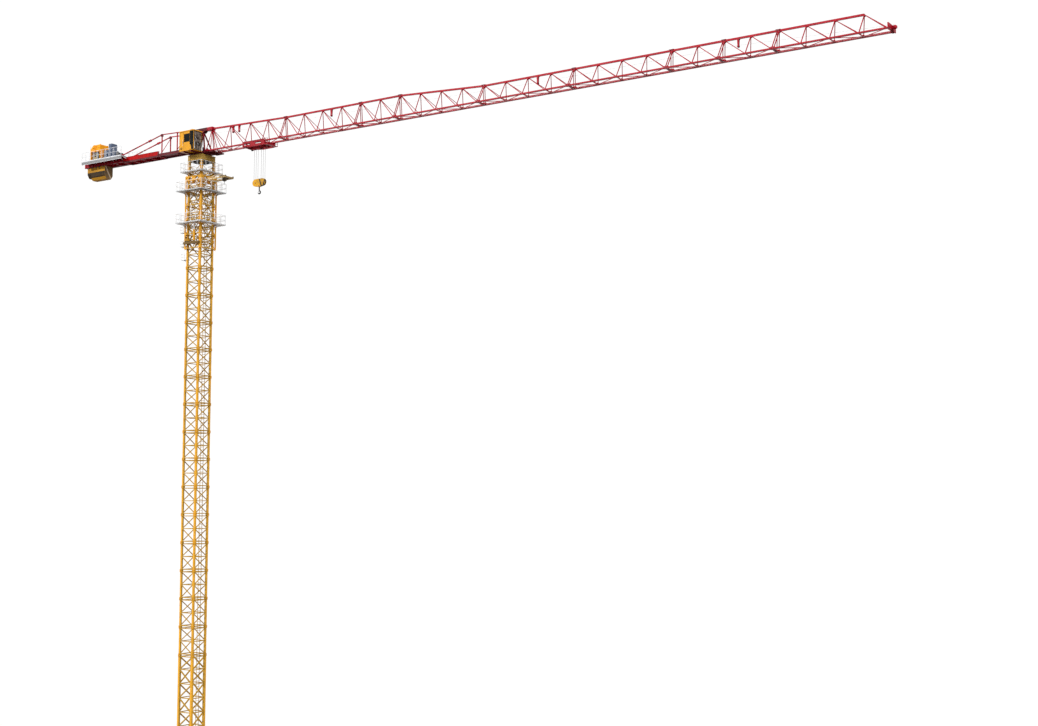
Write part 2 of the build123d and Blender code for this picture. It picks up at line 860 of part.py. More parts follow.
def cab_windows():
    """Panes that fill the window openings, set in the middle of the wall."""
    panes = []
    set_in = (cab_wall - glass_thickness) / 2
    slots = [
        ("y", cab_near_y + set_in),
        ("y", cab_near_y + set_in),
        ("y", cab_far_y - set_in - glass_thickness),
        ("y", cab_far_y - set_in - glass_thickness),
        ("x", cab_front_x - set_in - glass_thickness),
    ]
    for (x_range, y_range, z_range), (axis, low) in zip(cab_window_places(), slots):
        if axis == "y":
            panes.append(block(x_range, (low, low + glass_thickness), z_range))
        else:
            panes.append(block((low, low + glass_thickness), y_range, z_range))
    return panes


# Counter-jib
def counter_jib_inner():
    z_range = (counter_bottom, inner_top_level)
    side = [block((counter_step_x, counter_root_x), around(counter_y, counter_beam_width), z_range)]
    middle = around(0, counter_beam_spacing)
    pitch = (counter_root_x - counter_step_x - counter_cross_size) / (counter_inner_crosses - 1)
    cross_z = around(sum(z_range) / 2, counter_cross_size)
    cross = []
    for number in range(counter_inner_crosses):
        x = counter_step_x + counter_cross_size / 2 + number * pitch
        cross.append(block(around(x, counter_cross_size), middle, cross_z))
    floor_z = (cross_z[1] - inner_walk_thickness, cross_z[1])
    floor = block((counter_step_x, counter_root_x), middle, floor_z)
    return fused(mirrored_y(side) + cross + [floor])


def counter_jib_outer():
    """Deep middle part and the slightly higher end part that carries winch and ballast."""
    middle = around(0, counter_beam_spacing)
    pieces = []
    end_part = (counter_end_x, counter_outer_x, outer_bottom)
    deep_part = (counter_outer_x, counter_step_x, counter_bottom)
    for start, end, low in (end_part, deep_part):
        beam_z = (low, low + counter_beam_depth)
        pieces += mirrored_y([block((start, end), around(counter_y, counter_beam_width), beam_z)])
        count = round((end - start) / counter_pitch)
        step = (end - start - counter_cross_size) / count
        cross_z = (low, low + 2 * counter_cross_size)
        for number in range(count + 1):
            x = start + counter_cross_size / 2 + number * step
            pieces.append(block(around(x, counter_cross_size), middle, cross_z))
        floor_start = max(start, ballast_x[1] + overrun)
        floor_z = (cross_z[1], cross_z[1] + inner_walk_thickness)
        pieces.append(block((floor_start, end), middle, floor_z))
    return fused(pieces)


def counter_jib_walkways():
    start, end = walkway_outer_x
    inner_y = counter_y + counter_beam_width / 2
    top = outer_top_level
    fascia_y = (walkway_edge_y - walkway_floor_thickness, walkway_edge_y)
    pieces = [block((start, end), (inner_y, walkway_edge_y), (top - walkway_floor_thickness, top))]
    pieces.append(block((start, end), fascia_y, (top - walkway_fascia_depth, top)))
    edge = walkway_edge_y - railing_bar / 2
    for share in railing_shares:
        level = top + share * railing_height - railing_bar / 2
        pieces.append(bar((start, edge, level), (end, edge, level), railing_bar))
    count = 2 * railing_posts_per_side
    for number in range(count + 1):
        x = start + railing_bar / 2 + number * (end - start - railing_bar) / count
        pieces.append(block(around(x, railing_bar), around(edge, railing_bar), (top, top + railing_height)))
    return mirrored_y([fused(pieces)])


def tie_bars():
    """Ties of each side, from the outer lug over the apex to the tower head."""
    low = (tie_outer_x, counter_y, outer_top_level + tie_lug)
    apex = (apex_x, counter_y, apex_level)
    top = (head_rear_x - head_post_size / 2 - tie_seat_gap, counter_y, head_level - head_beam_depth / 2)
    lug_z = (outer_top_level, outer_top_level + tie_lug + tie_size)
    lug = block(around(tie_outer_x, tie_lug), around(counter_y, counter_beam_width), lug_z)
    run = Vector(*apex) - Vector(*low)
    middle = Vector(*low) + run * turnbuckle_share
    half = run.normalized() * turnbuckle_length / 2
    sleeve = bar(tuple(middle - half), tuple(middle + half), turnbuckle_size)
    return mirrored_y([fused([lug, bar(low, apex, tie_size), bar(apex, top, tie_size), sleeve])])


def tie_posts():
    """Two frames under the ties, each of two posts and a brace."""
    apex_top = apex_level - tie_size
    share = (inner_post_x - apex_x) / (head_rear_x - apex_x)
    inner_top = apex_top + share * (head_level - head_beam_depth / 2 - apex_level)
    frames = []
    for x, top in ((apex_x, apex_top), (inner_post_x, inner_top)):
        post = block(around(x, tie_post_size), around(counter_y, tie_post_size), (inner_top_level, top))
        high = (x, counter_y, top - tie_post_size)
        low = (x, -counter_y, inner_top_level + tie_post_size)
        frames.append(fused(mirrored_y([post]) + [bar(high, low, tie_brace_size)]))
    return frames


# Hoist winch group on the counter-jib
def winch_frame():
    z_range = (outer_top_level, winch_level)
    side_y = (winch_half_width - counter_beam_width, winch_half_width)
    half = counter_beam_width / 2
    pieces = mirrored_y([block((winch_rear_x, winch_front_x), side_y, z_range)])
    for x in (winch_rear_x + half, drum_centre_x, gearbox_x[0] + half, winch_front_x - half):
        pieces.append(block(around(x, counter_beam_width), around(0, 2 * winch_half_width), z_range))
    bearing_z = (winch_level, winch_level + bearing_height)
    return fused(pieces + mirrored_y([block(around(drum_centre_x, drum_radius), side_y, bearing_z)]))


def winch_drum():
    level = winch_level + drum_radius + overrun
    width = 2 * (winch_half_width - counter_beam_width - wheel_gap)
    side = (0, 1, 0)
    pieces = [disc((drum_centre_x, 0, level), drum_core_radius, width, side)]
    flange_y = width / 2 - drum_flange / 2
    for y in (-flange_y, flange_y):
        pieces.append(disc((drum_centre_x, y, level), drum_radius, drum_flange, side))
    return fused(pieces)


def winch_housing():
    """Hood over the drum, standing on its two end walls."""
    rear, front = hood_x
    low = winch_level + hood_low
    top = low + hood_height
    outline = [(rear, low), (front, low), (front, top)]
    outline += [(rear + hood_chamfer, top), (rear, top - hood_chamfer)]
    hood = plate_xz(outline, -winch_half_width, 2 * winch_half_width)
    width = around(0, 2 * winch_half_width)
    walls = [block((rear, rear + hood_wall), width, (winch_level, low))]
    walls.append(block((front - hood_wall, front), width, (winch_level, low)))
    lugs = []
    for x in (rear + hood_chamfer + hood_lug_size, front - hood_lug_size):
        lug_y = around(winch_half_width - hood_lug_size, hood_lug_size)
        lugs.append(block(around(x, hood_lug_size), lug_y, (top - overrun, top + hood_lug_size)))
    return fused([hood] + walls + mirrored_y(lugs))


def switch_cabinet():
    low = winch_level + gearbox_height
    return block(cabinet_x, around(0, 2 * cabinet_half_width), (low, low + cabinet_height))


def hoist_motor():
    """Gearbox with two motors lying side by side in front of it."""
    level = winch_level + motor_radius
    width = around(0, 2 * winch_half_width)
    pieces = [block(gearbox_x, width, (winch_level, winch_level + gearbox_height))]
    length = motor_end_x - gearbox_x[1]
    middle = (motor_end_x + gearbox_x[1]) / 2
    for y in (-winch_half_width / 2, winch_half_width / 2):
        pieces.append(disc((middle, y, level), motor_radius, length, (1, 0, 0)))
    pieces.append(block((gearbox_x[1], motor_end_x), width, (winch_level, winch_level + motor_foot_depth)))
    return fused(pieces)


def counterweights():
    """Slabs standing across the end part in a row, the rear one shallower."""
    rear, front = ballast_x
    pitch = (front - rear + ballast_gap) / ballast_count
    slabs = []
    for number in range(ballast_count):
        x = rear + number * pitch
        low = ballast_bottom + (ballast_rear_rise if number == 0 else 0)
        half = [(ballast_half_width, outer_bottom), (ballast_half_width, low + ballast_cut)]
        half.append((ballast_foot_half_width, low))
        outline = [(x, y, z) for y, z in half] + [(x, -y, z) for y, z in reversed(half)]
        face = make_face(Polyline(outline, close=True))
        slabs.append(extrude(face, pitch - ballast_gap, dir=Vector(1, 0, 0)).solid())
    return slabs


# Trolley
def trolley_frame():
    left = rope_centre_x - trolley_rear
    right = rope_centre_x + trolley_front
    low = trolley_plate_bottom
    beam_z = (low, low + trolley_beam_size)
    high = trolley_wheel_level() + trolley_axle_radius + overrun
    belly = low - trolley_belly_drop
    outline = [
        (left, high),
        (left, low + trolley_rear_drop),
        (rope_centre_x - trolley_wedge, belly),
        (rope_centre_x + trolley_belly_end, belly),
        (right, low - trolley_front_drop),
        (right, high),
    ]
    plate = plate_xz(outline, trolley_plate_y, trolley_plate_thickness)
    window_y = around(trolley_plate_y, 2 * overrun)
    window_z = (low + trolley_window_z[0], low + trolley_window_z[1])
    for start, end in trolley_windows_x:
        plate = plate.cut(block((rope_centre_x + start, rope_centre_x + end), window_y, window_z))
    beam_y = around(0, 2 * trolley_plate_y)
    half = trolley_beam_size / 2
    sheaves = trolley_sheave_places()
    second = sheaves[0] - trolley_sheave_pitch - trolley_beam_size
    beams = [block(around(x, trolley_beam_size), beam_y, beam_z) for x in (left + half, second, right - half)]
    cheek_y = sheave_width / 2 + wheel_gap
    cheek_outline = [
        (left, low + trolley_beam_size),
        (left, low),
        (sheaves[0] - trolley_sheave_pitch, low - trolley_cheek_drop),
        (sheaves[-1] + trolley_sheave_pitch, low - trolley_cheek_drop),
        (right, low),
        (right, low + trolley_beam_size),
    ]
    cheeks = mirrored_y([plate_xz(cheek_outline, cheek_y, trolley_plate_thickness)])
    anchors = []
    for lobe in (-lobe_offset, lobe_offset):
        anchor_x = around(rope_centre_x + lobe, becket_size)
        anchors.append(block(anchor_x, around(0, 2 * cheek_y + overrun), (low, low + becket_size)))
    return fused(mirrored_y([plate.solid()]) + beams + cheeks + anchors)


def trolley_wheel_level():
    return chord_bottom + rail_thickness + wheel_gap + trolley_wheel_radius


def trolley_wheels():
    """Wheels of both sides, each with the axle stub that the side plate holds."""
    level = trolley_wheel_level()
    left = rope_centre_x - trolley_rear
    length = trolley_rear + trolley_front
    wheel_y = chord_y + chord_size / 2 + wheel_gap + trolley_wheel_width / 2
    stub_start = wheel_y + trolley_wheel_width / 2
    stub_y = (stub_start + trolley_plate_y) / 2
    wheels = []
    for share in trolley_wheel_shares:
        x = left + share * length
        wheel = disc((x, wheel_y, level), trolley_wheel_radius, trolley_wheel_width, (0, 1, 0))
        stub = disc((x, stub_y, level), trolley_axle_radius, trolley_plate_y - stub_start, (0, 1, 0))
        wheels.append(fused([wheel, stub]))
    return mirrored_y(wheels)


def trolley_sheave_places():
    outer = lobe_offset + block_sheave_pitch + trolley_sheave_pitch
    return [rope_centre_x - outer, rope_centre_x, rope_centre_x + outer]


def trolley_sheaves():
    radius = trolley_sheave_pitch - rope_size / 2 - rope_gap
    side = (0, 1, 0)
    return [disc((x, 0, trolley_sheave_level), radius, sheave_width, side) for x in trolley_sheave_places()]


def rope_places():
    falls = []
    for lobe in (-lobe_offset, lobe_offset):
        falls += [rope_centre_x + lobe - block_sheave_pitch, rope_centre_x + lobe + block_sheave_pitch]
    return falls


def hoist_ropes():
    """Four falls from sheave to sheave and the two that end in beckets."""
    width = around(0, rope_size)
    fall_z = (block_centre_level, trolley_sheave_level)
    falls = [block(around(x, rope_size), width, fall_z) for x in rope_places()]
    becket_z = (block_centre_level + block_lobe_radius, trolley_plate_bottom)
    for lobe in (-lobe_offset, lobe_offset):
        falls.append(block(around(rope_centre_x + lobe, rope_size), width, becket_z))
    return falls


def trolley_basket():
    left = rope_centre_x + trolley_front
    right = left + basket_length
    half = trolley_plate_y
    low = trolley_plate_bottom - basket_drop
    high = low + basket_depth
    width = around(0, 2 * half)
    pieces = [block((left, right), width, (low, low + basket_bar))]
    pieces.append(block((left, left + overrun), width, (low, low + basket_hanger_depth)))
    side = []
    for x in (left + overrun / 2, right - basket_bar / 2):
        side.append(block(around(x, basket_bar), (half - basket_bar, half), (low, high - basket_bar)))
    return fused(pieces + mirrored_y(side))


# Hook block and hook
def block_frame():
    outline = []
    for lobe, start in ((-lobe_offset, cheek_arc_start), (lobe_offset, cheek_arc_start - cheek_arc_degrees)):
        for step in range(cheek_arc_steps + 1):
            angle = radians(start - step * cheek_arc_degrees / cheek_arc_steps)
            x = rope_centre_x + lobe + block_lobe_radius * cos(angle)
            outline.append((x, block_centre_level + block_lobe_radius * sin(angle)))
    half = crosshead_size / 2
    outline += [(rope_centre_x + half, block_bottom), (rope_centre_x - half, block_bottom)]
    cheeks = [plate_xz(outline, y, cheek_thickness) for y in (-cheek_offset, cheek_offset - cheek_thickness)]
    inner = around(0, 2 * (cheek_offset - cheek_thickness))
    crosshead = block(around(rope_centre_x, crosshead_size), inner, around(crosshead_level, crosshead_size))
    bore = Cylinder(hook_shank_radius + hook_shank_gap, crosshead_size + 2 * overrun)
    crosshead = (crosshead - Pos(rope_centre_x, 0, crosshead_level) * bore).solid()
    top = block_centre_level + block_lobe_radius
    beckets = []
    for lobe in (-lobe_offset, lobe_offset):
        beckets.append(block(around(rope_centre_x + lobe, becket_size), inner, (top - becket_size, top)))
    return fused(cheeks + [crosshead] + beckets)


def block_sheaves():
    radius = block_sheave_pitch - rope_size / 2 - rope_gap
    width = 2 * (cheek_offset - cheek_thickness)
    places = [rope_centre_x - lobe_offset, rope_centre_x + lobe_offset]
    return [disc((x, 0, block_centre_level), radius, width, (0, 1, 0)) for x in places]


def hook():
    shank_top = crosshead_level + crosshead_size / 2 + 2 * hook_shank_gap
    shank_low = crosshead_level - crosshead_size / 2 - hook_shank_length / 2
    shank_middle = (rope_centre_x, 0, (shank_top + shank_low) / 2)
    up = (0, 0, 1)
    shank = disc(shank_middle, hook_shank_radius, shank_top - shank_low, up)
    nut = disc((rope_centre_x, 0, shank_top + hook_bar / 2), hook_shank_radius + hook_bar / 4, hook_bar, up)
    centre_z = shank_low - hook_inner_radius - hook_bar / 2
    outer_edge = hook_arc(hook_inner_radius + hook_bar, centre_z)
    inner_edge = hook_arc(hook_inner_radius, centre_z)
    bowl = plate_xz(outer_edge + inner_edge[::-1], -hook_thickness / 2, hook_thickness)
    neck_z = (centre_z + hook_inner_radius, shank_low + hook_bar)
    neck = block(around(rope_centre_x, hook_bar), around(0, hook_thickness), neck_z)
    return fused([shank, nut, bowl, neck])


def hook_arc(radius, centre_z):
    """Points of the hook's bowl at one radius, from the top round to the open side."""
    points = []
    for step in range(hook_segments + 1):
        angle = pi / 2 - step * radians(360 - hook_open_degrees) / hook_segments
        points.append((rope_centre_x + radius * cos(angle), centre_z + radius * sin(angle)))
    return points


save("base_frame", base_frame())
save("base_section", base_section())
mast_groups()
save("slewing_support", slewing_support())
save("slew_ring", slew_ring())
save("climbing_cage", climbing_cage())
save("upper_walkway", walkway(upper_walk_level, upper_walk_half, leg_y + support_leg_size / 2))
save("middle_walkway", walkway(middle_walk_level, cage_walk_half, cage_outside))
save("lower_walkway", walkway(lower_walk_level, cage_walk_half, cage_outside))
save("ladder_landings", ladder_landings())
save("jacking_gear", jacking_gear())
save("introduction_beam", introduction_beam())
save("section_hoist", section_hoist())
save("turntable", turntable())
save("service_platform", service_platform())
save("tower_head", tower_head())
save("cab_shell", cab_shell())
save("cab_windows", cab_windows())
jib_sections()
save("jib_tip", jib_tip())
save("rope_guides", rope_guides())
save("counter_jib_inner", counter_jib_inner())
save("counter_jib_outer", counter_jib_outer())
save("counter_jib_walkways", counter_jib_walkways())
save("tie_bars", tie_bars())
save("tie_posts", tie_posts())
save("winch_frame", winch_frame())
save("winch_drum", winch_drum())
save("winch_housing", winch_housing())
save("switch_cabinet", switch_cabinet())
save("hoist_motor", hoist_motor())
save("counterweights", counterweights())
save("trolley_frame", trolley_frame())
save("trolley_wheels", trolley_wheels())
save("trolley_sheaves", trolley_sheaves())
save("trolley_basket", trolley_basket())
save("hoist_ropes", hoist_ropes())
save("block_frame", block_frame())
save("block_sheaves", block_sheaves())
save("hook", hook())
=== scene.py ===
import json
from math import cos, pi, radians, sin

import bmesh
import bpy
from mathutils import Matrix, Vector


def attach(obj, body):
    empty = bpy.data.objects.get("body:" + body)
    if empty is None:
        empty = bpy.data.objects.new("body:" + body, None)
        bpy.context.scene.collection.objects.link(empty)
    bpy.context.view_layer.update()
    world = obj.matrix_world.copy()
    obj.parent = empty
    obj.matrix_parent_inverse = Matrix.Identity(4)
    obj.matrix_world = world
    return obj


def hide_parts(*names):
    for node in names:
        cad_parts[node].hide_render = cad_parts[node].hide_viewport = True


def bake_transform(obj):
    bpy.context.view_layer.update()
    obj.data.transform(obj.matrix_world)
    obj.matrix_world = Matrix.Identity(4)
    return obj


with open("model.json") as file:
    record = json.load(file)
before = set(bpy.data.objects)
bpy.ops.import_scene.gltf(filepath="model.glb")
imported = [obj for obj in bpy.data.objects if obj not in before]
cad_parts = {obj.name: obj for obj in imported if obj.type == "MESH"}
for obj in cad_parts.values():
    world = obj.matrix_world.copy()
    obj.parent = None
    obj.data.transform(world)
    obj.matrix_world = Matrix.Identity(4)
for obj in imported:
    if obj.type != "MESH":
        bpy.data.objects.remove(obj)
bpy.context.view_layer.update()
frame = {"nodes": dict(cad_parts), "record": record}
MM = 0.001
X, Y, Z = (1, 0, 0), (0, 1, 0), (0, 0, 1)
LOOKS = {}


# Node trees
class Tree:
    """Short names for building the nodes of one material or world."""

    def __init__(self, name, kind="materials"):
        self.name = name
        self.owner = getattr(bpy.data, kind).new(name)
        self.owner.use_nodes = True
        self.nodes = self.owner.node_tree.nodes
        self.shader = self.nodes.get("Principled BSDF")
        self.places = self.node("TexCoord").outputs
        self.coord = self.places["Object"]

    def feed(self, socket, value):
        """Link a node's output to an input, or set the input; a colour gets its alpha."""
        if isinstance(value, bpy.types.NodeSocket):
            self.owner.node_tree.links.new(value, socket)
        else:
            socket.default_value = (*value, 1) if socket.type == "RGBA" else value

    def node(self, kind, **inputs):
        """New node with its named inputs linked or set."""
        node = self.nodes.new("ShaderNode" + kind)
        for name, value in inputs.items():
            self.feed(node.inputs[name.replace("_", " ")], value)
        return node

    def mapped(self, scale):
        return self.node("Mapping", Scale=scale, Vector=self.coord).outputs[0]

    def noise(self, scale, detail, vector=None, rough=0.6):
        vector = vector or self.coord
        node = self.node("TexNoise", Scale=scale, Detail=detail, Roughness=rough, Vector=vector)
        return node.outputs["Fac"]

    def cells(self, scale):
        return self.node("TexVoronoi", Scale=scale, Vector=self.coord).outputs["Color"]

    def ramp(self, value, stops, constant=False):
        node = self.node("ValToRGB")
        ramp = node.color_ramp
        ramp.interpolation = "CONSTANT" if constant else "LINEAR"
        while len(ramp.elements) < len(stops):
            ramp.elements.new(0.5)
        for element, (place, colour) in zip(ramp.elements, stops):
            element.position = place
            element.color = (*colour, 1)
        self.feed(node.inputs[0], value)
        return node.outputs[0]

    def mask(self, value, low, high, top=1.0, constant=False):
        """Factor that rises from nothing at low to top at high."""
        return self.ramp(value, [(low, (0, 0, 0)), (high, (top, top, top))], constant)

    def mix(self, factor, a, b):
        node = self.node("Mix")
        node.data_type = "RGBA"
        for place, value in ((0, factor), (6, a), (7, b)):
            self.feed(node.inputs[place], value)
        return node.outputs[2]

    def span(self, value, low, high):
        return self.node("MapRange", To_Min=low, To_Max=high, Value=value).outputs[0]

    def bump(self, value, strength, distance):
        node = self.node("Bump", Strength=strength, Distance=distance, Height=value)
        self.feed(self.shader.inputs["Normal"], node.outputs[0])

    def along(self, direction):
        """Distance of each point along a direction, in metres."""
        dot = self.node("VectorMath")
        dot.operation = "DOT_PRODUCT"
        self.feed(dot.inputs[0], self.coord)
        self.feed(dot.inputs[1], direction)
        return dot.outputs["Value"]

    def math(self, operation, a, b=0.0):
        node = self.node("Math")
        node.operation = operation
        self.feed(node.inputs[0], a)
        self.feed(node.inputs[1], b)
        return node.outputs[0]

    def finish(self, colour, roughness, metallic=0.0, gloss=0.1):
        """Feed the shader and keep the material under its name."""
        for name, value in (("Base Color", colour), ("Roughness", roughness), ("Metallic", metallic),
                            ("Specular IOR Level", gloss)):
            self.feed(self.shader.inputs[name], value)
        LOOKS[self.name] = self.owner


def scaled(colour, factor):
    return tuple(min(1.0, c * factor) for c in colour)


def paint(name, base, grime=(0.09, 0.06, 0.04), rough=0.42, wear=0.66, gloss=0.1, bands=None):
    """Enamel on steel: cloudy colour, streaks of dirt that run down, dust, chips to primer."""
    t = Tree(name)
    cloud = t.noise(7.0, 4.0)
    colour = t.ramp(cloud, [(0.3, scaled(base, 0.82)), (0.55, base), (0.78, scaled(base, 1.14))])
    if bands:
        colour = bands(t, colour)
    fine = t.noise(95.0, 6.0)
    streaks = t.noise(1.0, 6.0, t.mapped((70.0, 70.0, 5.0)), 0.55)
    colour = t.mix(t.mask(streaks, 0.56, 0.8, 0.42), colour, grime)
    dust = t.noise(22.0, 8.0)
    colour = t.mix(t.mask(dust, 0.45, 0.9, 0.3), colour, scaled(base, 0.55))
    chips = t.noise(150.0, 8.0, None, 0.72)
    colour = t.mix(t.mask(chips, 0.0, wear, constant=True), colour, (0.11, 0.075, 0.06))
    t.bump(t.mix(0.5, fine, chips), 0.22, 0.0006)
    t.finish(colour, t.span(dust, rough - 0.12, rough + 0.22), gloss=gloss)


def zinc(name, base, metallic=0.1, rough=0.5, bright=None, levels=()):
    """Galvanised steel: crystal spangle, dull patches, rust; bright outside the given bands of height, while
    the bands, where the decks lie, keep the darker colour as painted shade.
    """
    t = Tree(name)
    spangle = t.ramp(t.cells(120.0), [(0.1, scaled(base, 0.78)), (0.9, scaled(base, 1.2))])
    patch = t.noise(14.0, 7.0)
    if bright:
        start, end = 5.0, 7.0
        height = t.node("MapRange", From_Min=start, From_Max=end, Value=t.along(Z)).outputs[0]
        stops = [(0.0, (1, 1, 1))]
        # The bands of height keep the darker spangle: painted shade on the decks
        for low, high in levels:
            stops += [((low - start) / (end - start), (0, 0, 0)), ((high - start) / (end - start), (1, 1, 1))]
        spangle = t.mix(t.ramp(height, stops, True), spangle, bright)
    colour = t.mix(t.mask(patch, 0.5, 0.85, 0.6), spangle, scaled(base, 1.35))
    rust = t.noise(38.0, 9.0, t.mapped((3.0, 3.0, 0.6)), 0.7)
    colour = t.mix(t.mask(rust, 0.66, 0.8, 0.5), colour, (0.2, 0.11, 0.06))
    t.bump(t.noise(240.0, 5.0), 0.3, 0.0004)
    t.finish(colour, t.span(patch, rough - 0.1, rough + 0.25), metallic)


def steel(name, base, metallic=0.9, rough=0.35, oil=(0.02, 0.018, 0.016)):
    """Machined or forged steel with an oily film and fine scratches."""
    t = Tree(name)
    scratch = t.noise(1.0, 7.0, t.mapped((420.0, 60.0, 420.0)), 0.7)
    colour = t.ramp(scratch, [(0.3, scaled(base, 0.7)), (0.7, scaled(base, 1.25))])
    film = t.noise(26.0, 7.0)
    colour = t.mix(t.mask(film, 0.45, 0.8, 0.65), colour, oil)
    t.bump(scratch, 0.25, 0.0003)
    t.finish(colour, t.span(film, rough - 0.1, rough + 0.2), metallic)


def glass(name):
    """Dark pane with a faint film of dust; on the front panes pale blotches are a painted reflection that
    also hints at what stands inside.
    """
    t = Tree(name)
    dust = t.noise(30.0, 7.0)
    colour = t.ramp(dust, [(0.35, (0.004, 0.005, 0.005)), (0.85, (0.016, 0.018, 0.018))])
    painted_reflection = t.ramp(t.noise(42.0, 3.0), [(0.4, (0.04, 0.03, 0.024)), (0.6, (0.27, 0.22, 0.18))])
    colour = t.mix(t.math("GREATER_THAN", t.along(X), 0.0835), colour, painted_reflection)
    t.bump(t.noise(5.0, 2.0), 0.06, 0.002)
    t.finish(colour, t.span(dust, 0.08, 0.2), gloss=0.08)


def wire(name, dark=(0.07, 0.07, 0.072), pale=(0.13, 0.13, 0.135)):
    """Steel wire rope: lay of the strands and grease."""
    t = Tree(name)
    wave = t.node("TexWave", Scale=130.0, Distortion=0.6, Vector=t.coord)
    wave.bands_direction = "DIAGONAL"
    lay = wave.outputs["Fac"]
    colour = t.ramp(lay, [(0.1, dark), (0.8, pale)])
    grease = t.noise(60.0, 6.0)
    colour = t.mix(t.mask(grease, 0.55, 0.85, 0.4), colour, (0.05, 0.045, 0.04))
    t.bump(lay, 0.6, 0.0006)
    t.finish(colour, t.span(grease, 0.35, 0.6), 0.2)


def marks(lines, dark):
    """Single painted lines: direction, place along it and half width, in metres."""
    def add(t, colour):
        for direction, place, half in lines:
            away = t.math("ABSOLUTE", t.math("SUBTRACT", t.along(direction), place))
            colour = t.mix(t.math("LESS_THAN", away, half), colour, dark)
        return colour
    return add


def above(level, other, fade=0.02, axis=Z):
    """Another colour past a place along an axis."""
    def add(t, colour):
        share = t.math("DIVIDE", t.math("SUBTRACT", t.along(axis), level), fade)
        return t.mix(t.mask(share, 0.0, 1.0), colour, other)
    return add


def bracing(dull):
    """Painted shade: the bracing between the legs is darkened to a dull brown, but not the collar at the
    cage's top.
    """
    def add(t, colour):
        collar = (6.05, 6.125)
        x, y = t.math("ABSOLUTE", t.along(X)), t.math("ABSOLUTE", t.along(Y))
        between = t.math("LESS_THAN", t.math("MINIMUM", x, y), 0.083)
        lattice = t.math("LESS_THAN", t.math("MAXIMUM", x, y), 0.126)
        away = t.math("ABSOLUTE", t.math("SUBTRACT", t.along(Z), sum(collar) / 2))
        free = t.math("GREATER_THAN", away, (collar[1] - collar[0]) / 2)
        share = t.math("MULTIPLY", t.math("MULTIPLY", between, lattice), free)
        return t.mix(share, colour, dull)
    return add


def both(first, second):
    """Two layers of marking, one over the other."""
    return lambda t, colour: second(t, first(t, colour))


yellow = (0.76, 0.375, 0.03)
# Painted shade for the lattice bracing, which lies in shade between the legs
bracing_shade = (0.46, 0.265, 0.036)
paint("mast_yellow", yellow, bands=bracing(bracing_shade))
# The walkway decks lie in these bands and keep the darker zinc as painted shade
zinc("galvanised", (0.52, 0.53, 0.54), bright=(0.74, 0.75, 0.77),
     levels=((5.586, 5.6), (5.945, 5.959), (6.16, 6.174), (6.455, 6.4965)))
paint("jib_red", (0.40, 0.005, 0.018), (0.05, 0.01, 0.012))
paint("deck_maroon", (0.13, 0.014, 0.020), (0.03, 0.010, 0.012), 0.5)
paint("cab_yellow", (0.80, 0.36, 0.014), rough=0.32, wear=0.74)
glass("cab_glass")
paint("machine_grey", (0.10, 0.13, 0.20), (0.03, 0.03, 0.04))
steel("bearing_steel", (0.10, 0.10, 0.11), 0.5)
zinc("base_grey", (0.26, 0.265, 0.27), 0.2, 0.55)
wire("wire_rope")
paint("block_yellow", (0.66, 0.33, 0.012), rough=0.38,
      bands=both(above(0.872, (0.46, 0.24, 0.01), 0.02, X),
                 marks([((1, 0, 0.37), 3.094, 0.0085), ((1, 0, -0.44), -1.677, 0.0085)],
                       (0.012, 0.010, 0.009))))
steel("hook_steel", (0.028, 0.027, 0.027), 0.0, 0.5)
paint("ballast_paint", (0.52, 0.25, 0.02), rough=0.6, wear=0.62,
      bands=both(marks([(Z, 6.348, 0.031)], (0.028, 0.018, 0.010)),
                 # Painted shade: the slabs' +X faces, on the side away from the key light, are darkened
                 marks([(X, -1.497, 0.0012)], (0.24, 0.15, 0.07))))
paint("frame_cream", (0.42, 0.33, 0.18), rough=0.5)
steel("guide_black", (0.03, 0.028, 0.027), 0.1, 0.5)
paint("block_plain", (0.72, 0.34, 0.012), rough=0.38)
paint("bright_red", (0.44, 0.004, 0.005), (0.08, 0.01, 0.012), 0.36, gloss=0.05)
# Painted shade on the slewing support: darker olive above 6.25 m, under the turntable deck, and the bracing
# shaded as on the mast
paint("support_under_deck_shade", yellow, rough=0.5,
      bands=both(bracing(bracing_shade), above(6.25, (0.43, 0.27, 0.06), 0.05)))
paint("head_red", (0.17, 0.008, 0.014), rough=0.45, bands=above(6.628, (0.09, 0.010, 0.015), 0.008))
paint("trolley_red", (0.35, 0.010, 0.020), (0.04, 0.01, 0.012), 0.45)
paint("beam_tan", (0.72, 0.54, 0.30), rough=0.5, bands=above(0.22, (0.34, 0.23, 0.09), 0.2, X))
paint("stripe_pale", (0.82, 0.66, 0.48), rough=0.55)
paint("jacking_paint", (0.16, 0.095, 0.03), rough=0.55, bands=above(5.392, yellow, 0.004))
steel("hoist_brown", (0.10, 0.075, 0.045), 0.0, 0.5)
# The counter-jib walkway decks lie in this band and keep the dark zinc as painted shade
zinc("deck_zinc", (0.23, 0.23, 0.235), bright=(0.62, 0.63, 0.65), levels=((6.455, 6.4885),))
paint("hood_yellow", (0.96, 0.38, 0.008), rough=0.4)
steel("rubber", (0.02, 0.02, 0.021), 0.0, 0.6)
zinc("pale_zinc", (0.72, 0.73, 0.75), 0.1, 0.5)
# A darker copy of the zinc for the walkway toe boards and their wires: painted shade
zinc("shaded_zinc", (0.36, 0.365, 0.37))
wire("bright_rope", (0.42, 0.42, 0.43), (0.6, 0.6, 0.61))
steel("chrome", (0.62, 0.63, 0.65), 1.0, 0.16, (0.3, 0.3, 0.31))

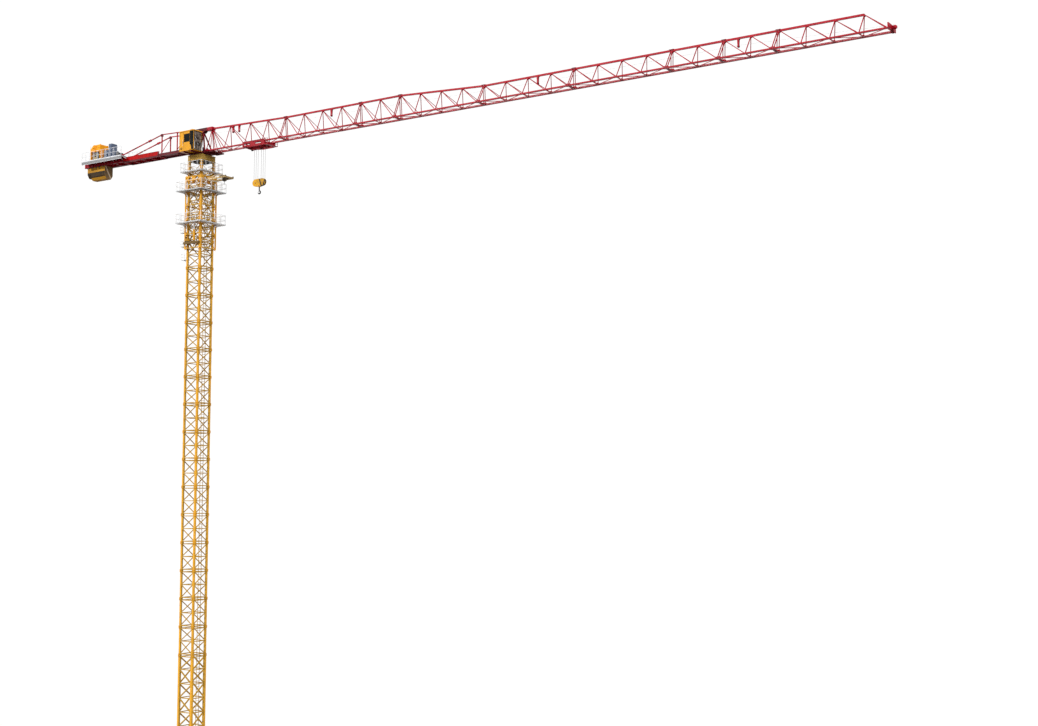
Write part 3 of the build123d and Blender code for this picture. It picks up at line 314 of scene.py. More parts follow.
# Nodes of the CAD whose look differs from their slot's
OWN = {"slewing_support": "support_under_deck_shade", "tower_head": "head_red", "winch_housing": "hood_yellow",
       "trolley_basket": "jib_red", "trolley_frame": "trolley_red", "jacking_gear": "jacking_paint",
       "introduction_beam": "beam_tan", "section_hoist": "hoist_brown", "counter_jib_walkways": "deck_zinc"}
for part in frame["record"]["subparts"]:
    node = frame["nodes"][part["node"]]
    material = LOOKS[OWN.get(part["node"], part["material_slot"])]
    for place in node.material_slots:
        place.material = material
    if not node.material_slots:
        node.data.materials.append(material)


# Meshes
def put(name, data):
    """New object in the scene."""
    thing = bpy.data.objects.new(name, data)
    bpy.context.collection.objects.link(thing)
    return thing


class Build:
    """Gathers bars, plates, rods and turned forms, in millimetres, into one piece on a body."""

    def __init__(self, body):
        self.bm = bmesh.new()
        self.body = body

    def loft(self, loops):
        """Capped skin between loops of equal length."""
        n = len(loops[0])
        last = (len(loops) - 1) * n
        faces = [(k + i, k + (i + 1) % n, k + n + (i + 1) % n, k + n + i)
                 for k in range(0, last, n) for i in range(n)]
        faces += [tuple(reversed(range(n))), tuple(range(last, last + n))]
        verts = [self.bm.verts.new(Vector(p) * MM) for loop in loops for p in loop]
        for face in faces:
            self.bm.faces.new([verts[i] for i in face])

    def plate(self, outline, push):
        """Flat outline pushed along a vector."""
        self.loft([[Vector(p) for p in outline], [Vector(p) + Vector(push) for p in outline]])

    def upright(self, outline, y, thick):
        """Plate from an outline in x and z."""
        self.plate([(x, y, z) for x, z in outline], (0, thick, 0))

    def box(self, x, y, z):
        """Box between two places on each axis, in either order."""
        (x0, x1), (y0, y1), (z0, z1) = sorted(x), sorted(y), sorted(z)
        self.plate([(x0, y0, z0), (x1, y0, z0), (x1, y1, z0), (x0, y1, z0)], (0, 0, z1 - z0))

    def between(self, a, b):
        """Box between two opposite corners."""
        self.box(*zip(a, b))

    def cube(self, centre, size):
        self.box(*[(c - s / 2, c + s / 2) for c, s in zip(centre, size)])

    def bar(self, a, b, width, depth=None):
        a, b = Vector(a), Vector(b)
        way = (b - a).normalized()
        side = Vector(Z).cross(way)
        side = side.normalized() if side.length > 0.02 else Vector(X)
        up = way.cross(side)
        w, d = side * width / 2, up * (depth or width) / 2
        self.plate([a - w - d, a + w - d, a + w + d, a - w + d], b - a)

    def turned(self, centre, axis, profile, sides=24):
        """Form turned about an axis through centre; profile holds (place along it, radius)."""
        centre, axis = Vector(centre), Vector(axis).normalized()
        side = axis.orthogonal().normalized()
        up = axis.cross(side)
        angles = [2 * pi * (i + 0.5) / sides for i in range(sides)]
        self.loft([[centre + axis * place + side * radius * cos(a) + up * radius * sin(a)
                    for a in angles] for place, radius in profile])

    def rod(self, a, b, radius, sides=8):
        a, b = Vector(a), Vector(b)
        self.turned(a, b - a, [(0, radius), ((b - a).length, radius)], sides)

    def run(self, x, y, z, radius, sides=8):
        """Rod along one axis, which has a pair of places where the others have one."""
        ends = [place if isinstance(place, tuple) else (place, place) for place in (x, y, z)]
        self.rod(*zip(*ends), radius, sides)

    def bolt(self, at, axis, radius, height=2.2):
        """Hexagon head with a washer face."""
        wide = radius * 1.25
        self.turned(at, axis, [(0, wide), (0.5, wide), (0.5, radius), (height, radius * 0.94)], 6)

    def grating(self, x, y, z, pitch=9.0, depth=2.0, across=1):
        """Bearing bars on edge, spaced across one axis, and lower cross rods."""
        spans = [sorted(x), sorted(y)]
        for axis, spacing, half, height in ((across, pitch, 0.5, depth),
                                            (1 - across, 3.5 * pitch, 0.6, depth * 0.8)):
            low, high = spans[axis]
            count = max(2, round((high - low) / spacing))
            for i in range(count + 1):
                c = low + half + i * (high - low - 2 * half) / count
                area = list(spans)
                area[axis] = (c - half, c + half)
                self.box(*area, (z, z + height))

    def done(self, name, slot, look=None, smooth=False, bevel=0.0):
        """Close the piece, in its slot's look or another; without a body it is left unattached."""
        bmesh.ops.recalc_face_normals(self.bm, faces=self.bm.faces)
        mesh = bpy.data.meshes.new(name)
        self.bm.to_mesh(mesh)
        self.bm.free()
        piece = put(name, mesh)
        mesh.materials.append(LOOKS[look or slot])
        if bevel:
            rounding = piece.modifiers.new("rounding", "BEVEL")
            rounding.width = bevel * MM
            rounding.segments = 2
            rounding.angle_limit = radians(40)
        if smooth:
            for face in mesh.polygons:
                face.use_smooth = True
            mesh.set_sharp_from_angle(angle=radians(38))
        body = self.body
        if body:
            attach(piece, body)
        return piece


def builds(count, body="upperworks"):
    return [Build(body) for _ in range(count)]


def mirrored(profile):
    """Profile of one half and its mirror image."""
    return profile + [(-place, radius) for place, radius in reversed(profile)]


# Mast: each entry of FACES carries a point of the front face round to another face
FACES = [lambda x, y, z=0, c=c, s=s: (x * c - y * s, x * s + y * c, z)
         for c, s in ((1, 0), (0, 1), (-1, 0), (0, -1))]
CORNERS = [(sx, sy) for sx in (-1, 1) for sy in (-1, 1)]
LEG = 92.75
BASE_TOP, SECTION, SECTIONS = 900.0, 300.0, 17
JOINT_LEVELS = [BASE_TOP + k * SECTION for k in range(SECTIONS + 1)]


def mast_joints():
    """Bolt sleeves on both outer sides of every leg at every joint."""
    sleeves, bolts = builds(2, "mast")
    out = LEG + 16.5
    for z in JOINT_LEVELS:
        low, high = z - 17, z + (17 if z < JOINT_LEVELS[-1] else 12)
        for sx, sy in CORNERS:
            for x, y in ((sx * out, sy * LEG), (sx * LEG, sy * out)):
                sleeves.run(x, y, (low, high), 3.1)
                bolts.bolt((x, y, high), Z, 2.5)
                bolts.bolt((x, y, low), (0, 0, -1), 2.5)
    sleeves.done("mast_bolt_sleeves", "mast_yellow")
    bolts.done("mast_bolts", "bearing_steel")


def mast_gussets():
    plates = Build("mast")
    levels = [z + rise for z in JOINT_LEVELS[:-1] for rise in (14, 150, 286)]
    levels += [44, 150, 300, 450, 600, 750, 886]
    for z in levels:
        for at in FACES:
            for sx in (-1, 1):
                plates.plate([at(sx * (LEG - dx), -LEG - 5.0, z + dz) for dx, dz in
                              ((8, -16), (22, -6), (26, 0), (22, 6), (8, 16))], at(0, -1.6))
    plates.done("mast_gussets", "mast_yellow")


def foundation():
    ribs, nuts = builds(2, "mast")
    for sx, sy in CORNERS:
        leg = Vector((sx * LEG, sy * LEG, 0))
        for at in FACES:
            for offset in (-14, 14):
                outline = [leg + Vector(at(d, offset - 1.5, z)) for d, z in ((23, 16), (44, 16), (23, 30))]
                ribs.plate(outline, at(0, 3))
            nuts.bolt(leg + Vector(at(17, 0, 30)), Z, 3.2, 3.0)
    ribs.done("foot_ribs", "base_grey")
    nuts.done("foot_nuts", "bearing_steel")


def support_details():
    ribs, bosses, studs, cross, under = builds(5, "mast")
    half, circle = 104.75, 96.5
    for at in FACES:
        for x in (-70, -35, 0, 35, 70):
            ribs.between(at(x - 2, -half, 6298), at(x + 2, -half - 4, 6360))
        for z in (6298, 6356.5):
            ribs.between(at(-half - 4, -half - 4, z), at(half + 4, -half, z + 3.5))
        for sx in (-1, 1):
            for z in (6036, 6092, 6236, 6272):
                profile = [(0, 6.5), (1.5, 6.5), (1.5, 4.4), (3.2, 4.0)]
                bosses.turned(at(sx * LEG, -LEG - 12, z), at(0, -1), profile, 12)
            cross.bar(at(-sx * 84, -LEG, 6246), at(sx * 84, -LEG, 6130), 4.4)
        # Painted shade: dark plates inside the top of the support stand in for the shade under the arches
        under.between(at(-80, -80, 6283), at(80, -62, 6297))
    for i in range(36):
        a = 2 * pi * i / 36
        studs.run(circle * cos(a), circle * sin(a), (6359, 6366.5), 1.7, 6)
    ribs.done("support_ribs", "mast_yellow", "support_under_deck_shade")
    cross.done("support_bracing", "mast_yellow")
    under.done("support_shade_plates", "guide_black")
    bosses.done("support_pins", "guide_black", smooth=True)
    studs.done("ring_studs", "bearing_steel")


# Climbing cage and its walkways
CAGE = 116.0
CAGE_LOW, CAGE_HIGH = 5312.0, 6120.0


def cage_details():
    braces, gussets, rollers = builds(3, "mast")
    step = (CAGE_HIGH - CAGE_LOW) / 5
    levels = [CAGE_LOW + 5] + [CAGE_LOW + k * step for k in range(1, 5)] + [CAGE_HIGH - 5]
    face = -CAGE - 5.4
    for at in FACES:
        for low, high in zip(levels, levels[1:]):
            for sx in (-1, 1):
                braces.bar(at(0, -CAGE, high), at(sx * (CAGE - 6), -CAGE, low), 3.6)
        for z in levels:
            for sx in (-1, 1):
                gussets.plate([at(sx * (CAGE - d), face, z + h) for d, h in
                               ((4, -18), (24, -6), (28, 0), (24, 6), (4, 18))], at(0, -1.4))
            middle = ((-16, -7), (16, -7), (12, 7), (-12, 7))
            gussets.plate([at(d, face, z + h) for d, h in middle], at(0, -1.4))
        for z in (levels[1], levels[-2]):
            for sx in (-1, 1):
                profile = mirrored([(-6, 5.2), (-5, 5.6)])
                rollers.turned(at(sx * (LEG + 2), -LEG - 15.5, z), at(1, 0), profile, 14)
    braces.done("cage_fine_braces", "mast_yellow")
    gussets.done("cage_gussets", "mast_yellow")
    rollers.done("cage_rollers", "guide_black", smooth=True)


def walkway_details(name, level, half, inside, bracket_drop):
    deck, boards, brackets = builds(3, "mast")
    edge, wire_line, wires = half - 4, half - 1.5, 10
    for y in ((-edge, -inside), (inside, edge)):
        deck.grating((-edge, edge), y, level, 8.0)
    for x in ((-edge, -inside), (inside, edge)):
        deck.grating(x, (-inside, inside), level, 8.0, across=0)
    for at in FACES:
        boards.between(at(0.2 - half, 0.2 - half, level - 0.5), at(half - 0.2, 1.4 - half, level + 6))
        for x in (-0.62 * inside, 0.62 * inside):
            brackets.bar(at(x, -half + 6, level - 6), at(x, -inside, level - 6), 5, 4)
            brackets.bar(at(x, -half + 12, level - 8), at(x, -inside, level - bracket_drop), 4.5)
        for i in range(wires):
            x = -half + 1.5 + (i + 0.5) * 2 * wire_line / wires
            boards.rod(at(x, -wire_line, level + 2), at(x, -wire_line, level + 108), 0.6, 6)
    deck.done(name + "_grating", "galvanised")
    boards.done(name + "_toe_boards", "galvanised", "shaded_zinc")
    brackets.done(name + "_brackets", "galvanised")


def landing_details():
    rails = Build("mast")
    for level, seat in ((5500, -122.0), (5345, -122.0), (5200, -102.75)):
        y0, y1 = seat + 1.5, seat + 54.5
        top = level + 62
        corners = [(seat - 2, y0), (-188.5, y0), (-188.5, y1), (seat - 2, y1)]
        for x, y in corners:
            rails.run(x, y, (level, top), 1.5)
        for height in (level + 31, top):
            for a, b in zip(corners, corners[1:]):
                rails.rod((*a, height), (*b, height), 1.3)
        rails.grating((-189, seat - 1), (seat + 1, seat + 55), level, 7.0, 1.6)
        for y in (seat + 8, seat + 48):
            rails.bar((-176, y, level - 5), (seat, y, level - 34), 3.5)
    rails.done("landing_rails", "galvanised")


def jacking_details():
    parts, shine, dark = builds(3, "mast")
    level, y = 5372.0, -134.0
    foot = level + 11
    for z in (foot + 4, foot + 60, foot + 122):
        parts.turned((40, y, z), Z, mirrored([(-4, 12.6), (-3, 14.2)]))
    shine.turned((40, y, foot + 130), Z, [(0, 7.4), (49, 7.4), (49.4, 6.6)])
    parts.turned((40, y, foot + 176), Z, [(0, 10), (8, 10), (10, 8)], 16)
    for x in (-104, -30, 14, 66, 104):
        parts.cube((x, y, level), (4, 25, 26))
    dark.turned((-80, y, foot + 34), Z, [(0, 8), (20, 8), (23, 6)], 20)
    dark.turned((-56, y, foot + 34), Z, [(0, 4), (5, 4)], 12)
    for z in (6, 12, 18, 24):
        dark.box((-90, -44), (y - 13.2, y - 12), (foot + z, foot + z + 2))
    for x in (-34, 12, 58):
        dark.bar((x, -118, foot + 4), (x + 16, -118, foot + 64), 4)
    parts.done("jack_bands", "mast_yellow", "jacking_paint", bevel=0.4)
    shine.done("jack_rod", "bearing_steel", "chrome", smooth=True)
    dark.done("jack_pump", "guide_black", smooth=True)


def introduction_details():
    truss, stops = builds(2, "mast")
    hoist, chain = builds(2, "section_hoist")
    z, start, knee, tip = 6072.0, 121, 345, 424
    hoist_x = 352
    for s in (-1, 1):
        y = s * 66.5
        truss.bar((start, y, z + 8), (knee, y, z + 30), 4.5)
        truss.bar((knee, y, z + 30), (tip, y, z + 8), 4.5)
        for x in (180, 235, 290, knee, 385):
            top = z + 8 + 22 * ((x - start) / (knee - start) if x <= knee else (tip - x) / (tip - knee))
            truss.bar((x, y, z - 8), (x, y, top), 4)
        for x in range(140, 420, 28):
            truss.box((x - 1, x + 1), (s * 50.2, s * 47), (z - 8, z + 8))
        stops.box((421, 427), (s * 50, s * 64), (z + 8, z + 18))
        for x in (hoist_x - 14, hoist_x + 14):
            hoist.turned((x, s * 57, z + 13.5), Y, [(-6, 5.2), (6, 5.2)], 16)
    hoist.turned((hoist_x, -20, z + 24), Y, [(0, 9), (3, 10), (37, 10), (40, 9)], 20)
    hoist.cube((hoist_x, 0, 6040), (26, 22, 6))
    chain.run(hoist_x, 0, (6040, 6030), 1.4)
    chain.turned((hoist_x, 0, 6026), Z, [(-4, 2), (-3, 4), (3, 4), (4, 3)], 14)
    hook = [(hoist_x + 5 * cos(radians(a)), 0, 6017 + 5 * sin(radians(a))) for a in range(100, -171, -27)]
    for a, b in zip(hook, hook[1:]):
        chain.rod(a, b, 1.4)
    truss.done("introduction_truss", "mast_yellow", "beam_tan")
    stops.done("introduction_stops", "guide_black")
    hoist.done("section_hoist_rollers", "bearing_steel", "hoist_brown", smooth=True)
    chain.done("section_hoist_chain", "bearing_steel", smooth=True)


# Upperworks
CHORD = 6393.8
BOTTOM = 6386.3
START, BAY = 216.0, 254.9
JOINTS = (0, 4, 8, 10, 14, 18, 22, 24, 26, 30)


def node_x(bay):
    return {0: 156.0, 1: 430.0}.get(bay, START + bay * BAY)


def depth_at(bay):
    if bay <= 4:
        return 258.0 - 7.5 * bay
    return 228.0 - 61.0 * min(max((bay - 10) / 4, 0), 1)


def top_at(x):
    for first, last in zip(JOINTS, JOINTS[1:]):
        if x <= node_x(last):
            break
    share = (x - node_x(first)) / (node_x(last) - node_x(first))
    return CHORD + depth_at(first) + share * (depth_at(last) - depth_at(first))


def jib_details():
    gussets, pins, bolts, beams = builds(4)
    for bay in range(JOINTS[-1]):
        x, top = node_x(bay), CHORD + depth_at(bay)
        foot = x - 32
        long, deep = (26, 20) if bay in JOINTS else (14, 15)
        for s in (-1, 1):
            for c, edge, mid, z, way in ((x, 9, 11, top, -1), (foot, 51.5, 49, CHORD, 1)):
                outline = [(c + dx, s * y, z + way * dz) for dx, y, dz in
                           ((-long, edge, 8), (-6, mid, deep), (6, mid, deep), (long, edge, 8))]
                gussets.plate(outline, (0, s * 1.6, 0))
            gussets.box((foot - 12, foot + 12), (s * 52.5, s * 38), (CHORD - 1, CHORD + 1))
    for bay in JOINTS[1:-1]:
        x, top = node_x(bay), CHORD + depth_at(bay)
        foot, spread = x - 32, (-10, 10)
        for dx in spread:
            pins.run(x + dx, (-17, 17), top, 5.2, 14)
        for s in (-1, 1):
            for dx in spread:
                pins.run(foot + dx, (s * 41, s * 70), CHORD + 4, 4.6, 14)
                bolts.bolt((foot + dx, s * 70, CHORD + 4), (0, s, 0), 2.6, 3)
                bolts.bolt((x + dx, s * 17, top), (0, s, 0), 2.8, 3)
        gussets.box((x - 24, x + 24), (-12, 12), (top + 8.5, top + 12))
        beams.box((foot - 9, foot + 9), (-50, 50), (CHORD - 7, CHORD + 5))
    heel = CHORD + 258
    for x in (112, 136, 160):
        for s in (-1, 1):
            bolts.bolt((x, s * 26, heel), (0, s, 0), 4, 4)
    pins.run(104, (-31, 31), heel, 8, 18)
    for s in (-1, 1):
        pins.run(128, (s * 38, s * 71), CHORD + 2, 7, 18)
        gussets.box((94, 178), (s * 26, s * 29), (heel - 12, heel + 12))
    gussets.done("jib_gussets", "jib_red")
    pins.done("jib_pins", "deck_maroon", smooth=True)
    beams.done("jib_cross_beams", "deck_maroon")
    bolts.done("jib_bolts", "bearing_steel")


GUIDES = (472.0, 560.0, 1865.0, 4404.0, 6470.0)


def roller_height(x):
    return top_at(x) - 8.9 - 70 + 5.5


def guide_brackets():
    """Tapered plates under the top chord with a grooved roller between their feet."""
    brackets, rollers = builds(2)
    for x in GUIDES:
        top, roller = top_at(x) - 8.9, roller_height(x)
        low = top - 70
        for s in (-1, 1):
            brackets.upright([(x - 9, top), (x + 9, top), (x + 5, low - 2), (x - 5, low - 2)], s * 8, s * 2.2)
            brackets.turned((x, s * 8, roller), (0, s, 0), [(0, 7.5), (3.4, 7.5)], 16)
            corners = ((x - 14, s * 3), (x + 14, s * 3), (x + 14, s * 12), (x - 14, s * 12))
            brackets.plate([(*corner, top - 3) for corner in corners], (0, 0, 3))
        rollers.turned((x, 0, roller), Y, mirrored([(-7.6, 10.8), (-5.6, 10.8), (-1.4, 8.6)]), 28)
        rollers.run(x, (-12, 12), roller, 2.6, 10)
    piece = brackets.done("guide_brackets", "jib_red")
    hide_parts("rope_guides")
    rollers.done("guide_rollers", "deck_maroon", smooth=True)


def jib_ropes():
    """Hoist rope over the guides and the line that runs over the trolley's sheaves."""
    rope, fittings = builds(2)
    line = [(24.0, 0, 6617.6), *[(x, 0, roller_height(x) + 8.6 + 1.2) for x in GUIDES], (7859.0, 0, 6429.5)]
    for a, b in zip(line, line[1:]):
        rope.rod(a, b, 0.9)
    rope.run(8.0, 0, (6606, 6388), 0.9)
    rope.run((262, 7846), 0, 6376.4, 0.9)
    for x, z, radius in ((20, 6606, 11.0), (262, 6386.0, 8.4), (7846, 6367.0, 8.2)):
        rim = radius + 2
        profile = [(-3.5, rim), (-2.4, rim), (0, radius - 0.4), (2.4, rim), (3.5, rim)]
        fittings.turned((x, 0, z), Y, profile, 28)
        fittings.run(x, (-8, 8), z, 2.6, 12)
    for s in (-1, 1):
        fittings.box((15, 25), (s * 5, s * 8), (6600, 6644))
        fittings.box((256, 268), (s * 4.4, s * 7), (6381, 6396))
        fittings.box((7833, 7850), (s * 4.4, s * 7), (6362, 6390))
    rope.done("jib_hoist_rope", "wire_rope", "bright_rope", smooth=True)
    fittings.done("jib_rope_sheaves", "deck_maroon", smooth=True)


def head_details():
    plates, pins, drives = builds(3)
    for s in (-1, 1):
        for y, outline in ((22, ((-30, 6642), (70, 6642), (40, 6618), (0, 6618))),
                           (68, ((-108, 6668), (-72, 6668), (-92, 6632), (-108, 6632)))):
            plates.upright(outline, s * y, s * 2.5)
        pins.run(-116, (s * 56, s * 76), 6655, 5, 14)
        pins.run(-100, (s * 50, s * 78), 6442, 6, 14)
        for z in (6639, 6667.5):
            plates.box((-108, 94), (s * 21, s * 24.5), (z, z + 3.5))
        plates.box((-108, -92), (s * 52, s * 50), (6386, 6440))
    for x in (-60, -20, 30, 66):
        plates.box((x - 1.5, x + 1.5), (-24.5, 24.5), (6642, 6668))
    plates.box((-108, 94), (-24.5, 24.5), (6668, 6671))
    for x, y in ((52, -28), (52, 28), (-58, 0)):
        drives.turned((x, y, 6386), Z, [(0, 19), (5, 19), (5, 14), (22, 14), (24, 11.5), (54, 11.5),
                                        (56, 12.5), (62, 12.5), (65, 9)])
    plates.done("head_plates", "jib_red", "deck_maroon")
    pins.done("head_pins", "bearing_steel", smooth=True)
    drives.done("slewing_drives", "machine_grey", smooth=True)


def platform_details():
    deck, rails = builds(2)
    deck.grating((124, 230), (-70, 110), BOTTOM - 4 - 1.8, 9.0, 1.8)
    for y in (-30, 70):
        deck.box((126, 228), (y - 2, y + 2), (BOTTOM - 12, BOTTOM - 4))
    for x, y in ((229, 106), (229, 74), (160, 109), (196, 109), (126, 109)):
        rails.run(x, y, (BOTTOM, BOTTOM + 62), 1.4)
    for z in (BOTTOM + 31, BOTTOM + 62):
        rails.run(229, (74, 106), z, 1.2)
        rails.run((126, 229), 109, z, 1.2)
    deck.done("service_grating", "deck_maroon")
    rails.done("service_rails", "galvanised")


# Cab
def cab_details():
    x0, x1, y0, y1, z0 = -130.0, 88.0, -216.0, -92.0, 6385.0
    z1 = z0 + 222
    seals, body, dark, bars = builds(4)

    def frame_on_y(y, way, xs, zs, width=2.2, proud=1.0):
        (a, b), (c, d) = xs, zs
        for x, z in ((xs, (c, c + width)), (xs, (d - width, d)), ((a, a + width), zs), ((b - width, b), zs)):
            seals.box(x, (y, y + way * proud), z)

    for y, way in ((y0, -1), (y1, 1)):
        frame_on_y(y, way, (-61, 27), (z0 + 97, z0 + 191))
        frame_on_y(y, way, (26, 85), (z0 + 3, z0 + 216))
        frame_on_y(y, way, (-122, -66), (z0 + 8, z0 + 206), 1.2, 0.7)
        dark.box((-72, -69), (y, y + way * 4), (z0 + 88, z0 + 106))
        for z in (z0 + 30, z0 + 172):
            dark.cube((-121, y + way * 1.5, z), (5, 3, 9))
        dark.box((-112, -84), (y, y + way * 1.2), (z0 + 22, z0 + 44))
        for z in range(24, 44, 4):
            body.box((-110, -86), (y + way, y + way * 2.4), (z0 + z, z0 + z + 2))
        curve = [(27 + 26 * cos(radians(a)), z0 + 6 + 64 * sin(radians(a))) for a in range(90, -1, -9)]
        body.upright([(27, z0 + 6), *curve], y, way * 1.6)
        body.box((x0, x1), (y, y + way * 1.6), (z0, z0 + 4))
    ys = (y0 + 4, y1 - 4)
    for z in (z0 + 3, z0 + 66, z0 + 130, z1 - 12):
        seals.box((x1, x1 + 1.6), ys, (z, z + 3))
    for y in (y0 + 4, y0 + 45, y0 + 79, y1 - 7):
        seals.box((x1, x1 + 1.6), (y, y + 3), (z0 + 3, z1 - 9))
    bars.bar((x1 + 3.5, y0 + 62, z0 + 70), (x1 + 3.5, y0 + 26, z0 + 150), 1.6)
    bars.bar((x1 + 3.2, y0 + 22, z0 + 118), (x1 + 3.2, y0 + 32, z0 + 180), 1.2)
    bars.cube((x1 + 2.6, y0 + 62, z0 + 70), (4, 8, 8))
    for y in (y0 + 8, y1 - 8):
        bars.run(x1 + 7, y, (z0 + 16, z0 + 96), 1.5)
        for z in (z0 + 18, z0 + 94):
            bars.run((x1, x1 + 7), y, z, 1.3)
    for x in (-116, -74):
        bars.run(x, y0 - 3.6, (z0 + 60, z0 + 130), 1.2)
        for z in (z0 + 62, z0 + 128):
            bars.run(x, (y0, y0 - 3.6), z, 1.1)
    body.loft([[(x0 + back, y0 + side, z), (x1 - front, y0 + side, z), (x1 - front, y1 - side, z),
                (x0 + back, y1 - side, z)]
               for back, front, side, z in ((0, -4.6, -4.6, z1), (0, -4.6, -4.6, z1 + 3), (6, 4, 4, z1 + 7))])
    dark.box((-92, -44), (y0 + 30, y1 - 30), (z1 + 6.5, z1 + 15))
    for x in range(-90, -42, 8):
        bars.box((x, x + 3), (y0 + 32, y1 - 32), (z1 + 15, z1 + 16.2))
    for x, z, size in ((-20, 30, (44, 40, 30)), (-40, 70, (10, 38, 60)), (-38, 112, (8, 22, 22))):
        dark.cube((x, y0 + 34, z0 + z), size)
    for y in (y0 + 14, y0 + 54):
        dark.cube((4, y, z0 + 44), (44, 12, 36))
        bars.rod((12, y, z0 + 62), (14, y, z0 + 80), 1.4)
    dark.box((-124, 80), (y0 + 6, y1 - 6), (z0 + 5, z0 + 7))
    seals.done("cab_seals", "cab_glass", "rubber")
    body.done("cab_panels", "cab_yellow", bevel=0.5)
    dark.done("cab_fittings", "guide_black", bevel=0.6)
    bars.done("cab_rails", "galvanised")


# Counter-jib
POSTS = (-856.0, -729.0)


def counter_jib_details():
    red, maroon, deck, boards, posts = builds(5)
    low, top = 6428.0, 6484.0
    end_part, mid_part, root_part = (-1826, -1182), (-1182, -610), (-610, -110)
    for s in (-1, 1):
        out, flange = s * 72, (s * 56, s * 75)
        red.box(mid_part, (out, out + s * 1.4), (low + 14, top))
        red.box(mid_part, (s * 58, s * 76), (top, top + 2.5))
        maroon.box(mid_part, flange, (low - 2.5, low))
        maroon.box(mid_part, (out, out + s * 1.6), (low, low + 14))
        maroon.box(end_part, flange, (6494.0, 6496.0))
        maroon.box(end_part, flange, (6437.8, 6440.0))
        for z in (6453, 6428):
            maroon.box(root_part, (out, out + s * 2.5), (z, z + 3))
        for x in range(-1150, -580, 57):
            red.box((x - 1.2, x + 1.2), (out, out + s * 3), (low + 14, top))
        for x in range(-1800, -1162, 58):
            maroon.box((x - 1.5, x + 1.5), (out, out + s * 3), (6440, 6496))
        for x in (-1178, -614, -1186, -606):
            maroon.cube((x, s * 74, 6458), (8, 5, 40))
        deck.grating((-1790, -1130), (s * 74, s * 148), 6496.0)
        boards.box((-1792, -1128), (s * 148.6, s * 150), (6496, 6502))
        for x in (-1790, -1640, -1490, -1340, -1190, -1132):
            boards.bar((x, s * 72, 6470), (x, s * 146, 6491), 4)
        for x in POSTS:
            posts.run(x, s * 66, (top, top + 52), 1.7)
        posts.run(POSTS, s * 66, top + 50, 0.6, 6)
        for k in range(20):
            x = -1775 + 33.5 * k
            posts.run(x, s * 148.5, (6498, 6603), 0.8, 6)
    for x, level in (((-1490, -1186), 6468.0), ((-1178, -614), 6456.0), ((-606, -112), 6448.5)):
        deck.grating(x, (-56, 56), level, 10.0)
    red.done("counter_jib_skin", "jib_red", "bright_red")
    maroon.done("counter_jib_flanges", "deck_maroon")
    deck.done("counter_jib_grating", "galvanised", "base_grey")
    boards.done("counter_jib_boards", "galvanised", "pale_zinc")
    posts.done("counter_jib_posts", "galvanised", "pale_zinc")


def tie_details():
    lugs, sleeves = builds(2)
    apex = Vector((-560, 65, 6671))
    low = Vector((-1200, 65, 6518))
    way = (apex - low).normalized()
    for s in (-1, 1):
        for x, z in ((-1200, 6516), (-560, 6671), (-114, 6655), (-318, 6654)):
            lugs.run(x, (s * 55, s * 75), z, 5, 14)
            lugs.bolt((x, s * 75, z), (0, s, 0), 3.4, 3)
        for x, z in ((-560, 6664), (-1200, 6508)):
            for y in (57.5, 70.5):
                lugs.box((x - 14, x + 14), (s * y, s * (y + 2)), (z - 16, z + 14))
        for share in (0.32, 0.66):
            c = low.lerp(apex, share)
            c.y = s * 65
            a, b = c - way * 30, c + way * 30
            for end in (a, b):
                sleeves.turned(end, way, mirrored([(-6, 7.4), (-5, 8.2)]), 10)
            for off in (-8, 8):
                sleeves.bar((a.x, s * 65 + off, a.z), (b.x, s * 65 + off, b.z), 3)
    lugs.done("tie_pins", "deck_maroon", smooth=True)
    sleeves.done("tie_sleeves", "jib_red")


def drum_profile(half, core, flange, pitch):
    """Flanged drum wound with one layer of rope."""
    face, width = half - 5, 2 * half - 10
    profile = [(-half, 6), (-half, flange), (-face, flange), (-face, core)]
    turns = int(width / pitch)
    for k in range(turns):
        c = -face + (k + 0.5) * width / turns
        profile += [(c - pitch * 0.32, core + 0.8), (c, core + 2.0),
                    (c + pitch * 0.32, core + 0.8), (c + pitch * 0.5, core)]
    return profile + [(face, core), (face, flange), (half, flange), (half, 6)]


